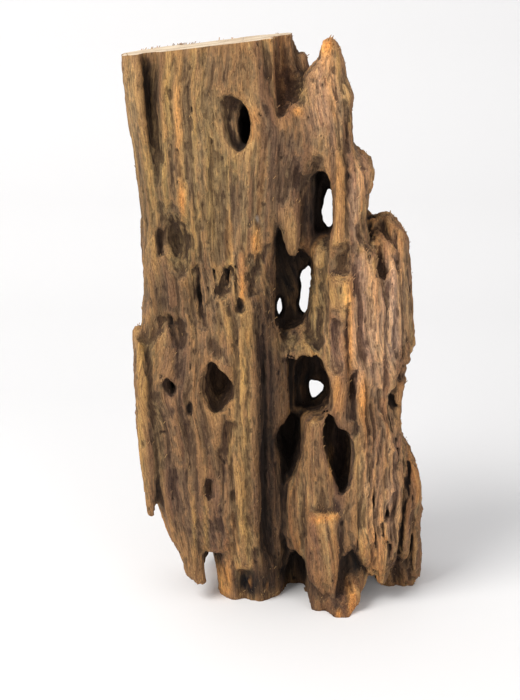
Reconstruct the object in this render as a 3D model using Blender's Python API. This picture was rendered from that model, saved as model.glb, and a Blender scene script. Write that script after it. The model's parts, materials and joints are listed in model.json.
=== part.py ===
"""Dragon wood: a weathered, hollowed block of heartwood that stands on three feet.

Lengths in the tables are millimetres: x runs to the right, y away from the front,
z up from the ground. The finished mesh is in metres, with its origin in the middle
of the bottom of its bounding box.
"""
import math

import bmesh
import bpy
import numpy as np
from mathutils import Vector, noise

MM = 0.001

# Driving dimensions
SAW_CORNER = (-60.0, 10.0, 221.9)     # front left corner of the sawn top
SAW_RISE_RIGHT = 0.118                # rise of the cut for each mm to the right
SAW_RISE_BACK = 0.030                 # rise of the cut for each mm to the back
GROUND = 0.0                          # level at which the feet are worn flat
SKIN_VOXEL = 1.1                      # fineness of the grown body before it is thinned
TRIANGLES = 10800                     # faces that the skin is thinned to
WOOD_COLOUR = (0.21, 0.125, 0.062, 1.0)
WOOD_ROUGHNESS = 0.85

# Shape of a section
RING_POINTS = 28
SLAB_SQUARENESS = 4.6
STRAND_SQUARENESS = 2.7
BURROW_POINTS = 20
BURROW_WAVE = 0.07                    # unevenness of a hollow's rim, as a share of its size

# Broad slabs of wood, each a list of level sections (z, left, right, front, back)
SLABS = {
    "upper slab": [
        (98, -50.5, -8, 12, 54), (118, -52.4, -7, 10.6, 55), (130, -52.8, -6, 10.6, 56),
        (142, -53.2, -4.5, 11, 57), (150, -53.8, -2.5, 11.5, 58), (160, -54.6, 7.0, 11.5, 58),
        (172, -55.3, 11, 11.5, 57), (186, -56.6, 14, 11, 56), (200, -58.0, 12, 10.5, 55),
        (212, -59.1, 9, 10, 54), (222, -60.3, 5, 10, 53), (238, -61.6, 3, 10, 52),
    ],
    "lower slab": [
        (22, -42, -22, 13, 34), (28, -46, -14, 11.5, 42), (40, -50.4, -10, 10, 48),
        (60, -54.4, -8.5, 9.5, 52), (88, -56.8, -8, 9, 54), (106, -56.4, -8, 9.2, 55),
        (122, -55.0, -9, 10.2, 54), (132, -52, -12, 11.5, 52),
    ],
}

# Strands and ropes of wood that run up the body, in the same form
STRANDS = {
    "edge splinter": [
        (38.5, -53.4, -50.8, 9.5, 12.5), (43, -54.2, -50.0, 8.8, 15), (60, -55.8, -50.5, 8.4, 20),
        (96, -57.6, -52, 8.4, 22), (111, -57.8, -53, 8.4, 20), (118.5, -58.2, -55.6, 9.5, 14),
    ],
    "ledge peak": [
        (96, -50, -41, 8.6, 20), (111, -49.0, -42.5, 8.6, 20), (116, -47.4, -43.6, 8.8, 18),
        (120.5, -46.2, -44.4, 9.6, 16),
    ],
    "prong": [
        (7.4, -35.0, -30.0, 13.0, 17), (12, -38.6, -30.0, 12.0, 22), (20, -40.4, -30.4, 11.5, 26),
        (32, -47, -29, 11.0, 32),
    ],
    "left foot": [
        (-5, -25.5, 1.5, 15.5, 51), (5, -25.8, 3.4, 15, 53), (13, -27.0, 2.0, 14, 54),
        (24, -28.6, -4, 12.5, 54), (45, -31, -8, 10.5, 54),
    ],
    "gold ridge": [
        (15, -19.5, -9.3, 12.6, 30), (32, -20.5, -8.8, 9.6, 30), (60, -19.8, -8.3, 7.2, 30),
        (90, -18.5, -7.8, 6.9, 30), (116, -17.5, -9, 8.2, 30), (142, -16.5, -7, 10.4, 30),
        (158, -15, -4, 11.4, 30),
    ],
    "valley floor": [
        (12, -11, 2.6, 20, 36), (40, -11, 2.2, 18.8, 36), (54, -11, 0.8, 18.0, 36),
        (64, -11, 0.8, 17.2, 36), (80, -11, 3.2, 15.6, 36), (100, -12, 3.2, 14.2, 36),
        (112, -13, 1.0, 13.4, 36), (122, -14, -2.6, 12.8, 36), (142, -14, -2.4, 12.4, 36),
        (162, -14, 2.0, 12.0, 36),
    ],
    "back wall": [
        (-5, 1, 15, 24, 44), (10, -3, 30, 24, 52), (24, -8, 42, 24, 57),
        (60, -12, 46, 27, 59), (112, -12, 44, 28, 59), (150, -14, 40, 28, 58),
        (161, -14, 34, 28, 57), (172, -14, 34.0, 28, 57), (180, -14, 31, 28, 56),
        (192, -14, 27, 28, 55), (206, -14, 20, 29, 54), (215, -14, 12.8, 29.5, 52),
        (221, -14, 6.4, 30, 50), (227, -14, 3.6, 30, 46),
    ],
    "tooth": [
        (145.4, 4.0, 5.6, 11.6, 15), (149, 3.0, 7.0, 11.2, 18), (155, 1.4, 8.0, 11.2, 20),
        (163, -3, 8.5, 11.2, 24), (176, -4, 11, 11.2, 26),
    ],
    "spike": [
        (132, 18, 29, 9.6, 34), (150, 19.8, 31, 10.2, 35), (165, 20.3, 33.2, 11.0, 35),
        (178, 16, 33, 11.6, 35), (190, 9, 27.6, 11.8, 35), (204, 9.5, 27.9, 12.2, 33),
        (212, 12.0, 25.8, 12.6, 30), (218, 13.4, 24.4, 13.2, 27), (224, 13.0, 22.2, 13.6, 24),
        (229.4, 14.6, 19.8, 14.4, 20),
    ],
    "golden bar": [
        (140, 19.8, 24.4, 9.4, 20), (150, 20.2, 25.2, 9.0, 20), (166, 20.4, 25.6, 9.4, 20),
        (182, 19.0, 23.4, 10.6, 22), (198, 17.5, 21.0, 11.6, 22), (214, 16.4, 19.4, 12.2, 20),
    ],
    "shoulder": [
        (146, 26, 33.6, 18, 40), (161, 26, 33.9, 16, 39), (168, 24, 34.4, 14.8, 37),
        (177, 24, 36.6, 15, 36), (183, 24, 34.0, 16, 34), (188, 22, 29.4, 17, 32),
    ],
    "shoulder root": [
        (124, 33, 38, 14, 28), (138, 31, 36.5, 14, 28), (150, 28, 34.4, 13.6, 28),
        (164, 25, 32.2, 13, 28), (180, 22, 29.4, 12.6, 26), (196, 20, 26.8, 13, 26),
    ],
    "flank": [
        (102, 14, 22, 12, 34), (114, 11.6, 22, 14, 34), (128, 11.4, 22, 15, 34),
        (140, 12.2, 22, 14.6, 34), (148, 14, 22, 14, 34),
    ],
    "saddle": [
        (104, 0.5, 20, 11, 34), (110, 1, 20, 14.5, 34), (116, 2, 20, 20, 36), (121, 4, 20, 26, 38),
    ],
    "centre plate": [
        (5.2, 18.0, 20.6, 6.5, 10), (8, 15.2, 23.0, 6.0, 14), (14, 11.8, 26.4, 5.6, 20),
        (24, 11.3, 29.5, 5.6, 24), (40, 10.8, 31, 6.4, 28), (60, 9.2, 32.5, 7.0, 30),
        (78, 9.5, 33, 7.8, 32), (100, 14.5, 33, 8.4, 34), (120, 17.0, 31, 8.8, 34),
        (142, 18.0, 29, 9.6, 33),
    ],
    "low plate": [
        (4.6, 18.0, 20.8, 4.6, 10), (8, 15.0, 23.2, 3.4, 13), (15, 11.4, 25.2, 2.8, 17),
        (26, 11.0, 25.6, 2.6, 18), (37, 11.4, 24.8, 3.0, 18), (41.5, 12.2, 23.8, 3.8, 18),
        (44.5, 14.0, 19.0, 5.0, 16),
    ],
    "inner lip": [
        (24, 3.6, 12, 14, 30), (30, 2.4, 12, 13, 30), (42, 3.0, 12, 12.6, 30), (54, 4.6, 12, 13.5, 30),
        (60, 7.0, 12, 14, 28),
    ],
    "finger": [
        (80.6, 22.0, 24.8, 8.6, 12), (85, 20.8, 25.8, 7.4, 16), (95, 20.4, 25.9, 6.9, 18),
        (110, 19.3, 26.2, 7.4, 20), (122, 18.6, 26.2, 8.4, 20),
    ],
    "tan block": [
        (123.5, 18.2, 27.2, 7.0, 20), (130, 17.6, 28.2, 6.2, 20), (136, 18.0, 27.6, 6.6, 20),
        (139.6, 20, 25.6, 8.0, 18),
    ],
    "orange edge": [
        (58, 32.6, 37.0, 10.0, 22), (72, 31.4, 35.8, 8.4, 22), (88, 30.4, 34.8, 7.8, 22),
        (97, 30.6, 33.6, 8.2, 20), (106, 27.0, 31.0, 8.0, 20), (120, 25.6, 29.2, 7.6, 20),
        (131, 25.8, 28.4, 7.8, 18),
    ],
    "side plate": [
        (9.0, 40.4, 43.0, 13.5, 19), (15, 35.4, 43.6, 12.5, 24), (24, 32.8, 44, 11.5, 27),
        (42, 31.5, 44.5, 10.8, 29), (70, 33, 43.2, 10.4, 31), (100, 29, 42, 9.8, 32),
        (126, 27.8, 41.6, 10.6, 32), (139, 28.0, 38.4, 11.6, 29), (145, 28.6, 35.2, 12.6, 25),
        (150.4, 29.4, 31.8, 13.4, 20),
    ],
    "side plate tip": [
        (128, 34.4, 39.6, 11.2, 24), (139, 34.8, 38.4, 12.0, 22), (146, 35.4, 37.2, 13.2, 18),
    ],
    "front foot": [
        (-5, 15.4, 28.6, -1.8, 13), (2, 14.2, 30.8, -1.2, 19), (9, 12.8, 36.4, 4, 29),
        (18, 14, 37.0, 9, 38), (30, 14, 36, 13, 44),
    ],
    "right column": [
        (-5, 44.5, 56.0, 28.6, 57), (4, 43.6, 59.0, 27.4, 60), (16, 42, 58.4, 26, 60),
        (30, 38, 57.4, 22, 60), (52, 37, 56.0, 21.5, 59), (59, 37, 53.0, 21.5, 58),
        (66, 36, 47.8, 20, 57), (80, 36, 47.4, 20, 56), (90, 36, 49.4, 20, 55),
        (107, 36, 52.0, 21.5, 55), (122, 36, 50.6, 22, 54), (146, 36.5, 49.8, 23, 52),
        (154, 37, 47.6, 24, 48), (158.4, 38.5, 44.8, 26, 41),
    ],
    "column rope": [
        (100, 47.0, 51.6, 20, 34), (107, 47.6, 53.4, 19.5, 34), (124, 46.8, 51.8, 20, 34),
        (140, 46.4, 51.2, 20.6, 34), (150, 44.6, 50.2, 21.4, 36), (156, 42.2, 47.4, 23, 36),
        (159.4, 39.6, 43.8, 25, 34),
    ],
    "inner rope": [
        (84, 37.5, 42.0, 13.5, 24), (100, 41.0, 46.0, 14.6, 26), (116, 42.2, 47.2, 17.0, 28),
        (132, 42.4, 47.0, 19.0, 30), (146, 41.8, 45.4, 20.4, 30),
    ],
    "winding rope": [
        (11, 42.0, 46.0, 18, 30), (22, 43.2, 48.8, 16, 32), (36, 44.8, 50.4, 14.6, 32),
        (50, 44.2, 50.0, 13.6, 32), (64, 41.6, 47.4, 13.0, 30), (78, 39.4, 44.6, 12.6, 28),
        (92, 38.0, 43.2, 12.4, 28),
    ],
    "outer rope": [
        (4, 54.0, 59.2, 28.4, 44), (14, 54.6, 59.6, 26, 42), (28, 54.0, 58.2, 23, 40),
        (44, 53.0, 57.8, 21, 38), (54, 51.6, 56.8, 19.5, 36), (61, 48.6, 53.0, 18.5, 34),
        (72, 44.6, 47.6, 18, 32), (84, 44.2, 48.4, 18, 32), (93, 45.2, 50.0, 18.6, 32),
    ],
    "middle rope": [
        (16, 48.4, 53.4, 21, 36), (30, 50.0, 54.4, 19, 34), (46, 50.2, 54.8, 17.4, 32),
        (60, 47.6, 51.8, 16.4, 30), (74, 44.0, 48.2, 15.6, 28), (84, 42.4, 46.4, 15.6, 28),
    ],
    "flap rope": [
        (14, 35.0, 39.0, 12.4, 22), (30, 34.6, 38.8, 10.6, 22), (46, 34.8, 39.6, 9.6, 22),
        (60, 35.8, 40.6, 9.6, 22), (74, 36.6, 41.0, 10.2, 22),
    ],
    "back rope 1": [
        (12, -38, -27, 40, 57), (50, -50, -37, 42, 60.5), (110, -51, -38, 42, 61),
        (170, -48, -36, 42, 61), (238, -52, -38, 40, 56),
    ],
    "back rope 2": [
        (-5, -23, -10, 36, 55), (40, -31, -17, 42, 60.5), (90, -33, -20, 42, 62),
        (150, -30, -18, 42, 60), (196, -30, -20, 40, 57),
    ],
    "back rope 3": [
        (34, -12, 2, 42, 61), (90, -8, 6, 44, 63.5), (150, -12, 2, 44, 62.5), (238, -18, -6, 38, 55),
    ],
    "back rope 4": [
        (2, 8, 22, 38, 57), (40, 10, 24, 42, 63), (96, 12, 26, 44, 65), (140, 8, 20, 44, 63),
        (190, 2, 14, 42, 58),
    ],
    "back rope 5": [
        (14, 28, 44, 42, 60), (60, 30, 46, 44, 65.5), (110, 28, 44, 44, 65), (150, 22, 36, 42, 60),
        (184, 16, 26, 40, 56),
    ],
    "back rope 6": [
        (-5, 47, 57, 44, 58), (30, 47, 59.4, 44, 62), (52, 46, 58.0, 44, 61), (63, 42, 50.6, 44, 60),
        (80, 40, 49.4, 44, 59), (96, 42, 51.8, 44, 58), (110, 42, 53.6, 42, 57), (132, 40, 51.6, 42, 55),
    ],
    "left side rope": [
        (38, -51.5, -44, 30, 42), (70, -57.2, -48, 28, 44), (104, -57.6, -48, 28, 44),
        (120, -54.6, -46, 30, 46), (162, -55.6, -46, 30, 46), (200, -59.6, -50, 28, 44),
        (238, -63.2, -50, 28, 44),
    ],
}

# Hollows worn from the front in, each a list of sections (y, x, z, half width, half height)
BURROWS = {
    "knot hole": [(2, -15.8, 197.0, 8.6, 14), (12, -15.0, 196.5, 5.8, 11.4), (16, -13.6, 196, 4.0, 9.8),
                  (26, -12.4, 195.6, 3.8, 8.8), (38, -9.5, 195, 2.6, 6)],
    "upper window": [(2, 13.0, 164, 7.6, 15.6), (12, 13.6, 164, 7.2, 14.8), (20, 15.6, 163.5, 6.2, 13.6),
                     (32, 20.0, 161, 4.9, 10.8), (46, 21.7, 160, 4.5, 9.0), (70, 22.2, 158.5, 5.4, 10)],
    "pointed arch": [(2, -0.2, 142, 3.6, 17.8), (20, 0.4, 138, 4.8, 20), (34, 2, 132, 5.4, 15)],
    "middle cave": [(2, 6.6, 133, 7.4, 15.2), (20, 6.8, 132.5, 7.6, 16.6), (34, 8, 129, 7.6, 14.4),
                    (46, 11.4, 127, 4.6, 10.4), (70, 11.8, 125, 5.4, 11)],
    "middle drain": [(22, 0.2, 126, 3.4, 6.6), (44, 0.4, 120, 2.2, 4.8), (70, 0.4, 118, 3.0, 5.4)],
    "lower window": [(2, 11.0, 93, 10.2, 14.2), (20, 10.8, 92.4, 10.2, 13.6), (34, 12.2, 89, 8.4, 11.4),
                     (46, 16.5, 83.4, 4.4, 5.6), (70, 17.0, 81.6, 5.4, 7.2)],
    "lower cave": [(2, 3.2, 65.5, 6.8, 14.4), (22, 3.2, 66, 7.0, 14.4), (36, 3.6, 66, 5.6, 11),
                   (46, 4, 65, 3.0, 6)],
    "side cave": [(2, 23.4, 66, 6.4, 18.4), (14, 24, 66, 6.4, 17.4), (27, 24.4, 66, 4.6, 12)],
    "niche": [(2, 29.0, 95, 2.6, 7.8), (18, 28.8, 94, 2.0, 5.4)],
    "left hole": [(2, -24.8, 94.5, 5.8, 10.2), (13, -24.8, 94.5, 5.5, 9.6), (25, -25, 94, 3.8, 6)],
    "small hole": [(2, -42.6, 95.4, 3.6, 4.8), (13, -41.8, 95, 2.9, 4.0), (22, -39, 94, 1.6, 2.2)],
    "low oval": [(2, -27.9, 51.6, 2.6, 5.2), (15, -27.9, 51.6, 2.0, 4.0)],
    "foot arch": [(-8, 7.2, 6, 5.0, 17.8), (20, 6.6, 6, 5.0, 16.4), (26, 6.4, 6, 3.4, 12)],
    "right arch": [(-8, 30.6, 9, 3.6, 14.4), (9, 30.6, 9, 3.0, 13.6), (15, 30.6, 8, 1.8, 10)],
    "side lobe hollow": [(14, 38.4, 153.6, 3.4, 4.0), (30, 38.8, 153.8, 3.0, 3.4), (38, 39, 154, 1.6, 1.8)],
    "side hollow": [(8, 39.6, 140.5, 3.4, 8.8), (22, 39.8, 141, 3.4, 8.0), (29, 40, 141, 2.0, 5)],
    "rope gap": [(8, 43.4, 41, 1.9, 6.6), (22, 43.2, 40, 1.9, 6.0), (28, 43, 40, 1.2, 4)],
    "back hollow": [(74, 33, 104, 6.4, 22), (60, 33, 104, 5.2, 19), (50, 33, 105, 3, 11)],
    "back niche": [(74, -36, 168, 5.4, 17), (58, -35, 168, 4.6, 14), (48, -34, 168, 2.6, 8)],
    "back low hole": [(74, -14, 66, 6, 12), (56, -14, 66, 5.0, 10), (42, -14, 67, 3, 6)],
}

# Gaps worn along the grain, as level sections of a strand
GULLIES = {
    "edge groove": [(168, -48.4, -46.0, 8, 12.5), (184, -50.6, -44.4, 4, 15.5),
                    (204, -52.8, -45.6, 4, 18), (240, -55.0, -46.8, 4, 19)],
    "ledge recess": [(109.5, -52.4, -49.6, 4, 12.2), (113, -55.6, -47.6, 4, 13.4),
                     (117, -64, -45.2, 4, 13.8), (126, -66, -43.4, 4, 13.2), (138, -56, -44.4, 4, 12.0),
                     (152, -51.5, -48, 4, 11.6)],
    "scoop": [(199.0, -1.8, 2.2, 8, 15), (206, -2.8, 7.4, 4, 22), (214, -3.4, 10.8, 4, 27),
              (222, -3.6, 14.6, 4, 29.5), (240, -3.8, 15.6, 4, 30)],
    "right gap": [(-6, 36.6, 43.4, 4, 70), (9, 37.0, 42.6, 4, 70), (17, 38.2, 41.0, 4, 70)],
    "prong gap": [(8, -30.6, -25.8, 8, 70), (18, -30.8, -28.6, 8, 70), (27, -30.2, -29.0, 8, 70)],
    "left side furrow": [(52, -64, -55.0, 22, 28), (100, -66, -53.6, 22, 28), (158, -66, -53, 23, 29),
                         (204, -68, -57.4, 22, 27)],
    "right side furrow": [(14, 57.4, 70, 40, 45), (58, 54, 70, 39, 45), (100, 49.0, 70, 37, 43),
                          (142, 48.6, 70, 36, 41)],
    "back furrow": [(60, -17.5, -12.5, 56, 80), (120, -18, -11, 55, 80), (180, -19.5, -13.6, 54, 80),
                    (244, -26, -20, 50, 80)],
}

# Furrows pressed into the front, each a list of (x, z, half width, depth)
FURROWS = [
    [(-42.0, 163, 5.0, 1.5), (-40.5, 152, 7.5, 4.4), (-38.5, 142, 6.0, 2.0)],
    [(-47.2, 155, 1.8, 3.0), (-46.8, 147, 1.8, 3.0)],
    [(-33.0, 141, 2.0, 2.4), (-32.0, 130, 2.4, 3.6), (-30.0, 118, 2.4, 1.4)],
    [(-20.5, 140, 2.6, 3.4), (-22.5, 132, 3.0, 2.2)],
    [(-20.0, 78, 2.6, 1.6), (-24.0, 66, 3.0, 1.8), (-25.0, 34, 2.6, 1.4)],
    [(-52.0, 106, 2.0, 1.2), (-50.5, 62, 2.0, 1.6), (-49.5, 44, 1.6, 2.0)],
    [(24.2, 150, 3.6, 1.6), (24.0, 144, 4.2, 3.2), (23.6, 140.5, 3.6, 2.4)],
    [(22.4, 120, 3.2, 1.6), (22.6, 104, 3.0, 0.8)],
    [(27.2, 128, 1.6, 2.2), (27.4, 104, 1.8, 2.4), (29.0, 90, 2.0, 2.8), (29.4, 78, 2.4, 1.6)],
    [(32.8, 60, 2.2, 2.2), (33.6, 44, 2.2, 2.8), (33.4, 26, 2.0, 2.0)],
    [(41.0, 131, 2.0, 4.4), (42.0, 110, 2.0, 3.0), (39.6, 96, 2.2, 2.4)],
    [(24.4, 186, 2.0, 2.4), (23.8, 200, 1.8, 2.0), (22.0, 214, 1.6, 1.4)],
    [(26.6, 178, 1.8, 2.4), (27.0, 160, 1.8, 2.6), (26.4, 148, 1.6, 1.6)],
    [(12.5, 198, 2.0, 1.2), (11.5, 184, 2.4, 2.4)],
]

# Wander of the whole body and flutes of the grain
WANDER_LENGTH = 26.0
WANDER = 1.1
FLUTE_WIDTH = 7.5
FLUTE_LENGTH = 90.0
FLUTE_DEPTH = 0.8                     # on the front and the left side
BOLD_FLUTE_DEPTH = 1.4                # on the right side and the back
BOLD_FLUTES_FROM = 28.0               # where the right side's bold flutes begin
BOLD_FLUTES_BLEND = 10.0              # distance over which they grow to their full depth
FLUTE_SHARPNESS = 3.0                 # how narrow the crests are against the valleys
FLUTE_SEED = 11.3
WANDER_SEED = 3.7
GRAIN_LEAN = -0.07                    # drift of the grain to the left for each mm up
GROWN_SMOOTHING = 7
WORN_SMOOTHING = 2
SMOOTHING_FACTOR = 0.5
FACING_SLOPE = 1.5                    # how soon a furrow fades where the front turns away
BEHIND_SLOPE = 2.0                    # how soon a surface that turns to the back counts as back
CUT_SNAP = 1e-7                       # metres within which a corner lies on a cut


def clear_scene():
    for obj in list(bpy.data.objects):
        bpy.data.objects.remove(obj, do_unlink=True)


def skin(name, rings):
    """Closed tube through rings of points given in millimetres."""
    shape = bmesh.new()
    loops = []
    for ring in rings:
        corners = [shape.verts.new([value * MM for value in point]) for point in ring]
        loops.append([shape.edges.new(pair) for pair in zip(corners, corners[1:] + corners[:1])])
    shape.faces.new([edge.verts[0] for edge in loops[0]])
    shape.faces.new([edge.verts[0] for edge in loops[-1]])
    for lower, upper in zip(loops, loops[1:]):
        bmesh.ops.bridge_loops(shape, edges=lower + upper)
    bmesh.ops.triangulate(shape, faces=shape.faces[:])
    bmesh.ops.recalc_face_normals(shape, faces=shape.faces[:])
    mesh = bpy.data.meshes.new(name)
    shape.to_mesh(mesh)
    shape.free()
    return bpy.data.objects.new(name, mesh)


def rounded(angle, squareness):
    """Point of a rounded square of half size 1."""
    c, s = math.cos(angle), math.sin(angle)
    power = 2.0 / squareness
    return math.copysign(abs(c) ** power, c), math.copysign(abs(s) ** power, s)


def upright(name, sections, squareness):
    """Strand whose sections are level, each (z, left, right, front, back)."""
    rings = []
    for z, left, right, front, back in sections:
        ring = []
        for step in range(RING_POINTS):
            across, along = rounded(2 * math.pi * step / RING_POINTS, squareness)
            x = (left + right + across * (right - left)) / 2
            y = (front + back + along * (back - front)) / 2
            ring.append((x, y, z))
        rings.append(ring)
    return skin(name, rings)


def burrow(name, sections):
    """Hollow whose sections face the front, each (y, x, z, half width, half height)."""
    rings = []
    for y, x, z, half_width, half_height in sections:
        ring = []
        for step in range(BURROW_POINTS):
            angle = 2 * math.pi * step / BURROW_POINTS
            swell = 1 + BURROW_WAVE * (math.sin(2 * angle + x) + math.sin(3 * angle + z))
            ring.append((x + half_width * swell * math.cos(angle), y, z + half_height * swell * math.sin(angle)))
        rings.append(ring)
    return skin(name, rings)


def gather(name, pieces):
    group = bpy.data.collections.new(name)
    bpy.context.scene.collection.children.link(group)
    for piece in pieces:
        group.objects.link(piece)
    return group


def discard(group):
    for obj in list(group.objects):
        bpy.data.objects.remove(obj, do_unlink=True)
    bpy.data.collections.remove(group)


def settle(obj):
    """Turn the modified shape into the object's own mesh."""
    depsgraph = bpy.context.evaluated_depsgraph_get()
    mesh = bpy.data.meshes.new_from_object(obj.evaluated_get(depsgraph))
    obj.modifiers.clear()
    obj.data = mesh


def combine(obj, group, operation):
    step = obj.modifiers.new(operation.lower(), "BOOLEAN")
    step.operation = operation
    step.operand_type = "COLLECTION"
    step.collection = group
    step.solver = "EXACT"
    settle(obj)
    discard(group)


def grow_body():
    """Slabs and strands grown into one, with the hollows worn out of it."""
    strands = [upright(name, rows, SLAB_SQUARENESS) for name, rows in SLABS.items()]
    strands += [upright(name, rows, STRAND_SQUARENESS) for name, rows in STRANDS.items()]
    body = strands.pop(0)
    body.name = "dragon_wood"
    bpy.context.scene.collection.objects.link(body)
    combine(body, gather("strands", strands), "UNION")
    hollows = [burrow(name, rows) for name, rows in BURROWS.items()]
    hollows += [upright(name, rows, STRAND_SQUARENESS) for name, rows in GULLIES.items()]
    combine(body, gather("hollows", hollows), "DIFFERENCE")
    return body


def reskin(body, smoothing):
    """Even skin over the whole body, with its seams and edges rounded."""
    remesh = body.modifiers.new("skin", "REMESH")
    remesh.mode = "VOXEL"
    remesh.voxel_size = SKIN_VOXEL * MM
    smooth = body.modifiers.new("worn", "SMOOTH")
    smooth.factor = SMOOTHING_FACTOR
    smooth.iterations = smoothing
    settle(body)


def mesh_points(mesh):
    points = np.empty(len(mesh.vertices) * 3, dtype=np.float32)
    mesh.vertices.foreach_get("co", points)
    return points.reshape(-1, 3).astype(float) / MM


def mesh_normals(mesh):
    normals = np.empty(len(mesh.vertices) * 3, dtype=np.float32)
    mesh.vertices.foreach_get("normal", normals)
    return normals.reshape(-1, 3).astype(float)


def place_points(mesh, points):
    mesh.vertices.foreach_set("co", (points * MM).astype(np.float32).ravel())
    mesh.update()


def stroke_depth(points, stroke):
    """Depth of a furrow at each point, as seen from the front."""
    depth = np.zeros(len(points))
    for start, end in zip(stroke, stroke[1:]):
        run = np.array(end[:2]) - np.array(start[:2])
        reach = points[:, (0, 2)] - np.array(start[:2])
        along = np.clip(reach @ run / (run @ run), 0, 1)
        gap = np.linalg.norm(reach - along[:, None] * run, axis=1)
        half_width = start[2] + (end[2] - start[2]) * along
        deepest = start[3] + (end[3] - start[3]) * along
        depth = np.maximum(depth, deepest * np.clip(1 - (gap / half_width) ** 2, 0, 1))
    return depth


def carve_front(points, normals):
    """Furrows of the front face."""
    facing = np.clip(-FACING_SLOPE * normals[:, 1], 0, 1)
    for stroke in FURROWS:
        points[:, 1] += facing * stroke_depth(points, stroke)


def field(points, stretch, seed):
    """Smooth random field, stretched along each axis."""
    return np.array([noise.noise(place) for place in (points / stretch + seed).tolist()])


def weather(points, normals):
    """Wander of the body, and flutes that follow its leaning grain."""
    points += normals * (WANDER * field(points, WANDER_LENGTH, WANDER_SEED))[:, None]
    grain = points.copy()
    grain[:, 0] -= GRAIN_LEAN * points[:, 2]
    waves = field(grain, (FLUTE_WIDTH, FLUTE_WIDTH, FLUTE_LENGTH), FLUTE_SEED)
    flutes = 1 - FLUTE_SHARPNESS * abs(waves)
    turned = np.clip((points[:, 0] - BOLD_FLUTES_FROM) / BOLD_FLUTES_BLEND, 0, 1)
    behind = np.clip(BEHIND_SLOPE * normals[:, 1], 0, 1)
    share = np.maximum(turned, behind)
    depth = FLUTE_DEPTH + (BOLD_FLUTE_DEPTH - FLUTE_DEPTH) * share
    points += normals * (depth * flutes)[:, None]


def thin_out(body):
    decimate = body.modifiers.new("thin", "DECIMATE")
    faces = sum(len(face.vertices) - 2 for face in body.data.polygons)
    decimate.ratio = TRIANGLES / faces
    settle(body)


def slice_off(shape, point, outward):
    """Take away what lies beyond a plane and close the cut with a flat face."""
    everything = shape.verts[:] + shape.edges[:] + shape.faces[:]
    cut = bmesh.ops.bisect_plane(
        shape, geom=everything, dist=CUT_SNAP, plane_co=point, plane_no=outward, clear_outer=True)
    rim = [item for item in cut["geom_cut"] if isinstance(item, bmesh.types.BMEdge)]
    bmesh.ops.triangle_fill(shape, use_beauty=True, edges=rim, normal=outward)


def cut_flat(body):
    """Saw cut across the top, and feet worn flat on the ground."""
    shape = bmesh.new()
    shape.from_mesh(body.data)
    saw_point = [value * MM for value in SAW_CORNER]
    slice_off(shape, saw_point, Vector((-SAW_RISE_RIGHT, -SAW_RISE_BACK, 1)).normalized())
    slice_off(shape, (0, 0, GROUND * MM), Vector((0, 0, -1)))
    bmesh.ops.triangulate(shape, faces=shape.faces[:])
    bmesh.ops.recalc_face_normals(shape, faces=shape.faces[:])
    shape.to_mesh(body.data)
    shape.free()


def centre(body):
    """Origin in the middle of the bottom of the bounding box."""
    points = mesh_points(body.data)
    low, high = points.min(axis=0), points.max(axis=0)
    origin = ((low[0] + high[0]) / 2, (low[1] + high[1]) / 2, low[2])
    points -= origin
    place_points(body.data, points)


def colour(body):
    wood = bpy.data.materials.new("weathered wood")
    wood.use_nodes = True
    shader = wood.node_tree.nodes["Principled BSDF"]
    shader.inputs["Base Color"].default_value = WOOD_COLOUR
    shader.inputs["Roughness"].default_value = WOOD_ROUGHNESS
    shader.inputs["Metallic"].default_value = 0.0
    body.data.materials.clear()
    body.data.materials.append(wood)


def build():
    clear_scene()
    body = grow_body()
    reskin(body, GROWN_SMOOTHING)
    points, normals = mesh_points(body.data), mesh_normals(body.data)
    carve_front(points, normals)
    weather(points, normals)
    place_points(body.data, points)
    reskin(body, WORN_SMOOTHING)
    thin_out(body)
    cut_flat(body)
    centre(body)
    colour(body)


build()
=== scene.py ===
import json
import math

import bmesh
import bpy
import numpy as np
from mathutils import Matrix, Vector, noise
from mathutils.bvhtree import BVHTree

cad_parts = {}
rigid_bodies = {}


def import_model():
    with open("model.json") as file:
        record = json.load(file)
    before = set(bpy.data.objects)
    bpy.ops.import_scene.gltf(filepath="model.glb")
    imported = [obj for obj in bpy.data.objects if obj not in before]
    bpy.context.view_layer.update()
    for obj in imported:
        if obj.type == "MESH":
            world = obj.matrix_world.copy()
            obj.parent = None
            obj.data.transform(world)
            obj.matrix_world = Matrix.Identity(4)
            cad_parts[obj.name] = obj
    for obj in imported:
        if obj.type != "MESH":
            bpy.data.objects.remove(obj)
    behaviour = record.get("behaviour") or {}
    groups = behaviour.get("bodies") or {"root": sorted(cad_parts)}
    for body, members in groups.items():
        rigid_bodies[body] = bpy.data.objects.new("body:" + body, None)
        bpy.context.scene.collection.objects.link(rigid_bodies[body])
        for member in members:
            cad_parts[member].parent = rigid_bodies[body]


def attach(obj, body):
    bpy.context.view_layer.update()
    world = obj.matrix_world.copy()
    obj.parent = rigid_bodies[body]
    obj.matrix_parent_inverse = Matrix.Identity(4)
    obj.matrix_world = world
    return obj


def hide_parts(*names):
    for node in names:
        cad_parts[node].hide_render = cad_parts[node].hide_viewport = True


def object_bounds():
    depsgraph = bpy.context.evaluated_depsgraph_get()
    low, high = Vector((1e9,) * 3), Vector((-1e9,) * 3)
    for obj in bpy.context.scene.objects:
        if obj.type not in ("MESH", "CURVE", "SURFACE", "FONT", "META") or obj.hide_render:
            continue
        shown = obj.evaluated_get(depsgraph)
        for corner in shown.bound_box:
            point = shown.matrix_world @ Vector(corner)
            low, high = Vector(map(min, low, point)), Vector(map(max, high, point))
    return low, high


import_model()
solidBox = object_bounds()
print("solid loaded")

# Lengths in the tables are millimetres on the table that the block stands on:
# x runs to the right, y away from the front, z up from the ground.
mm = 0.001
tableOrigin = np.array((-0.55, 32.63, 0.0))   # where the part's own origin lies there

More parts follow.
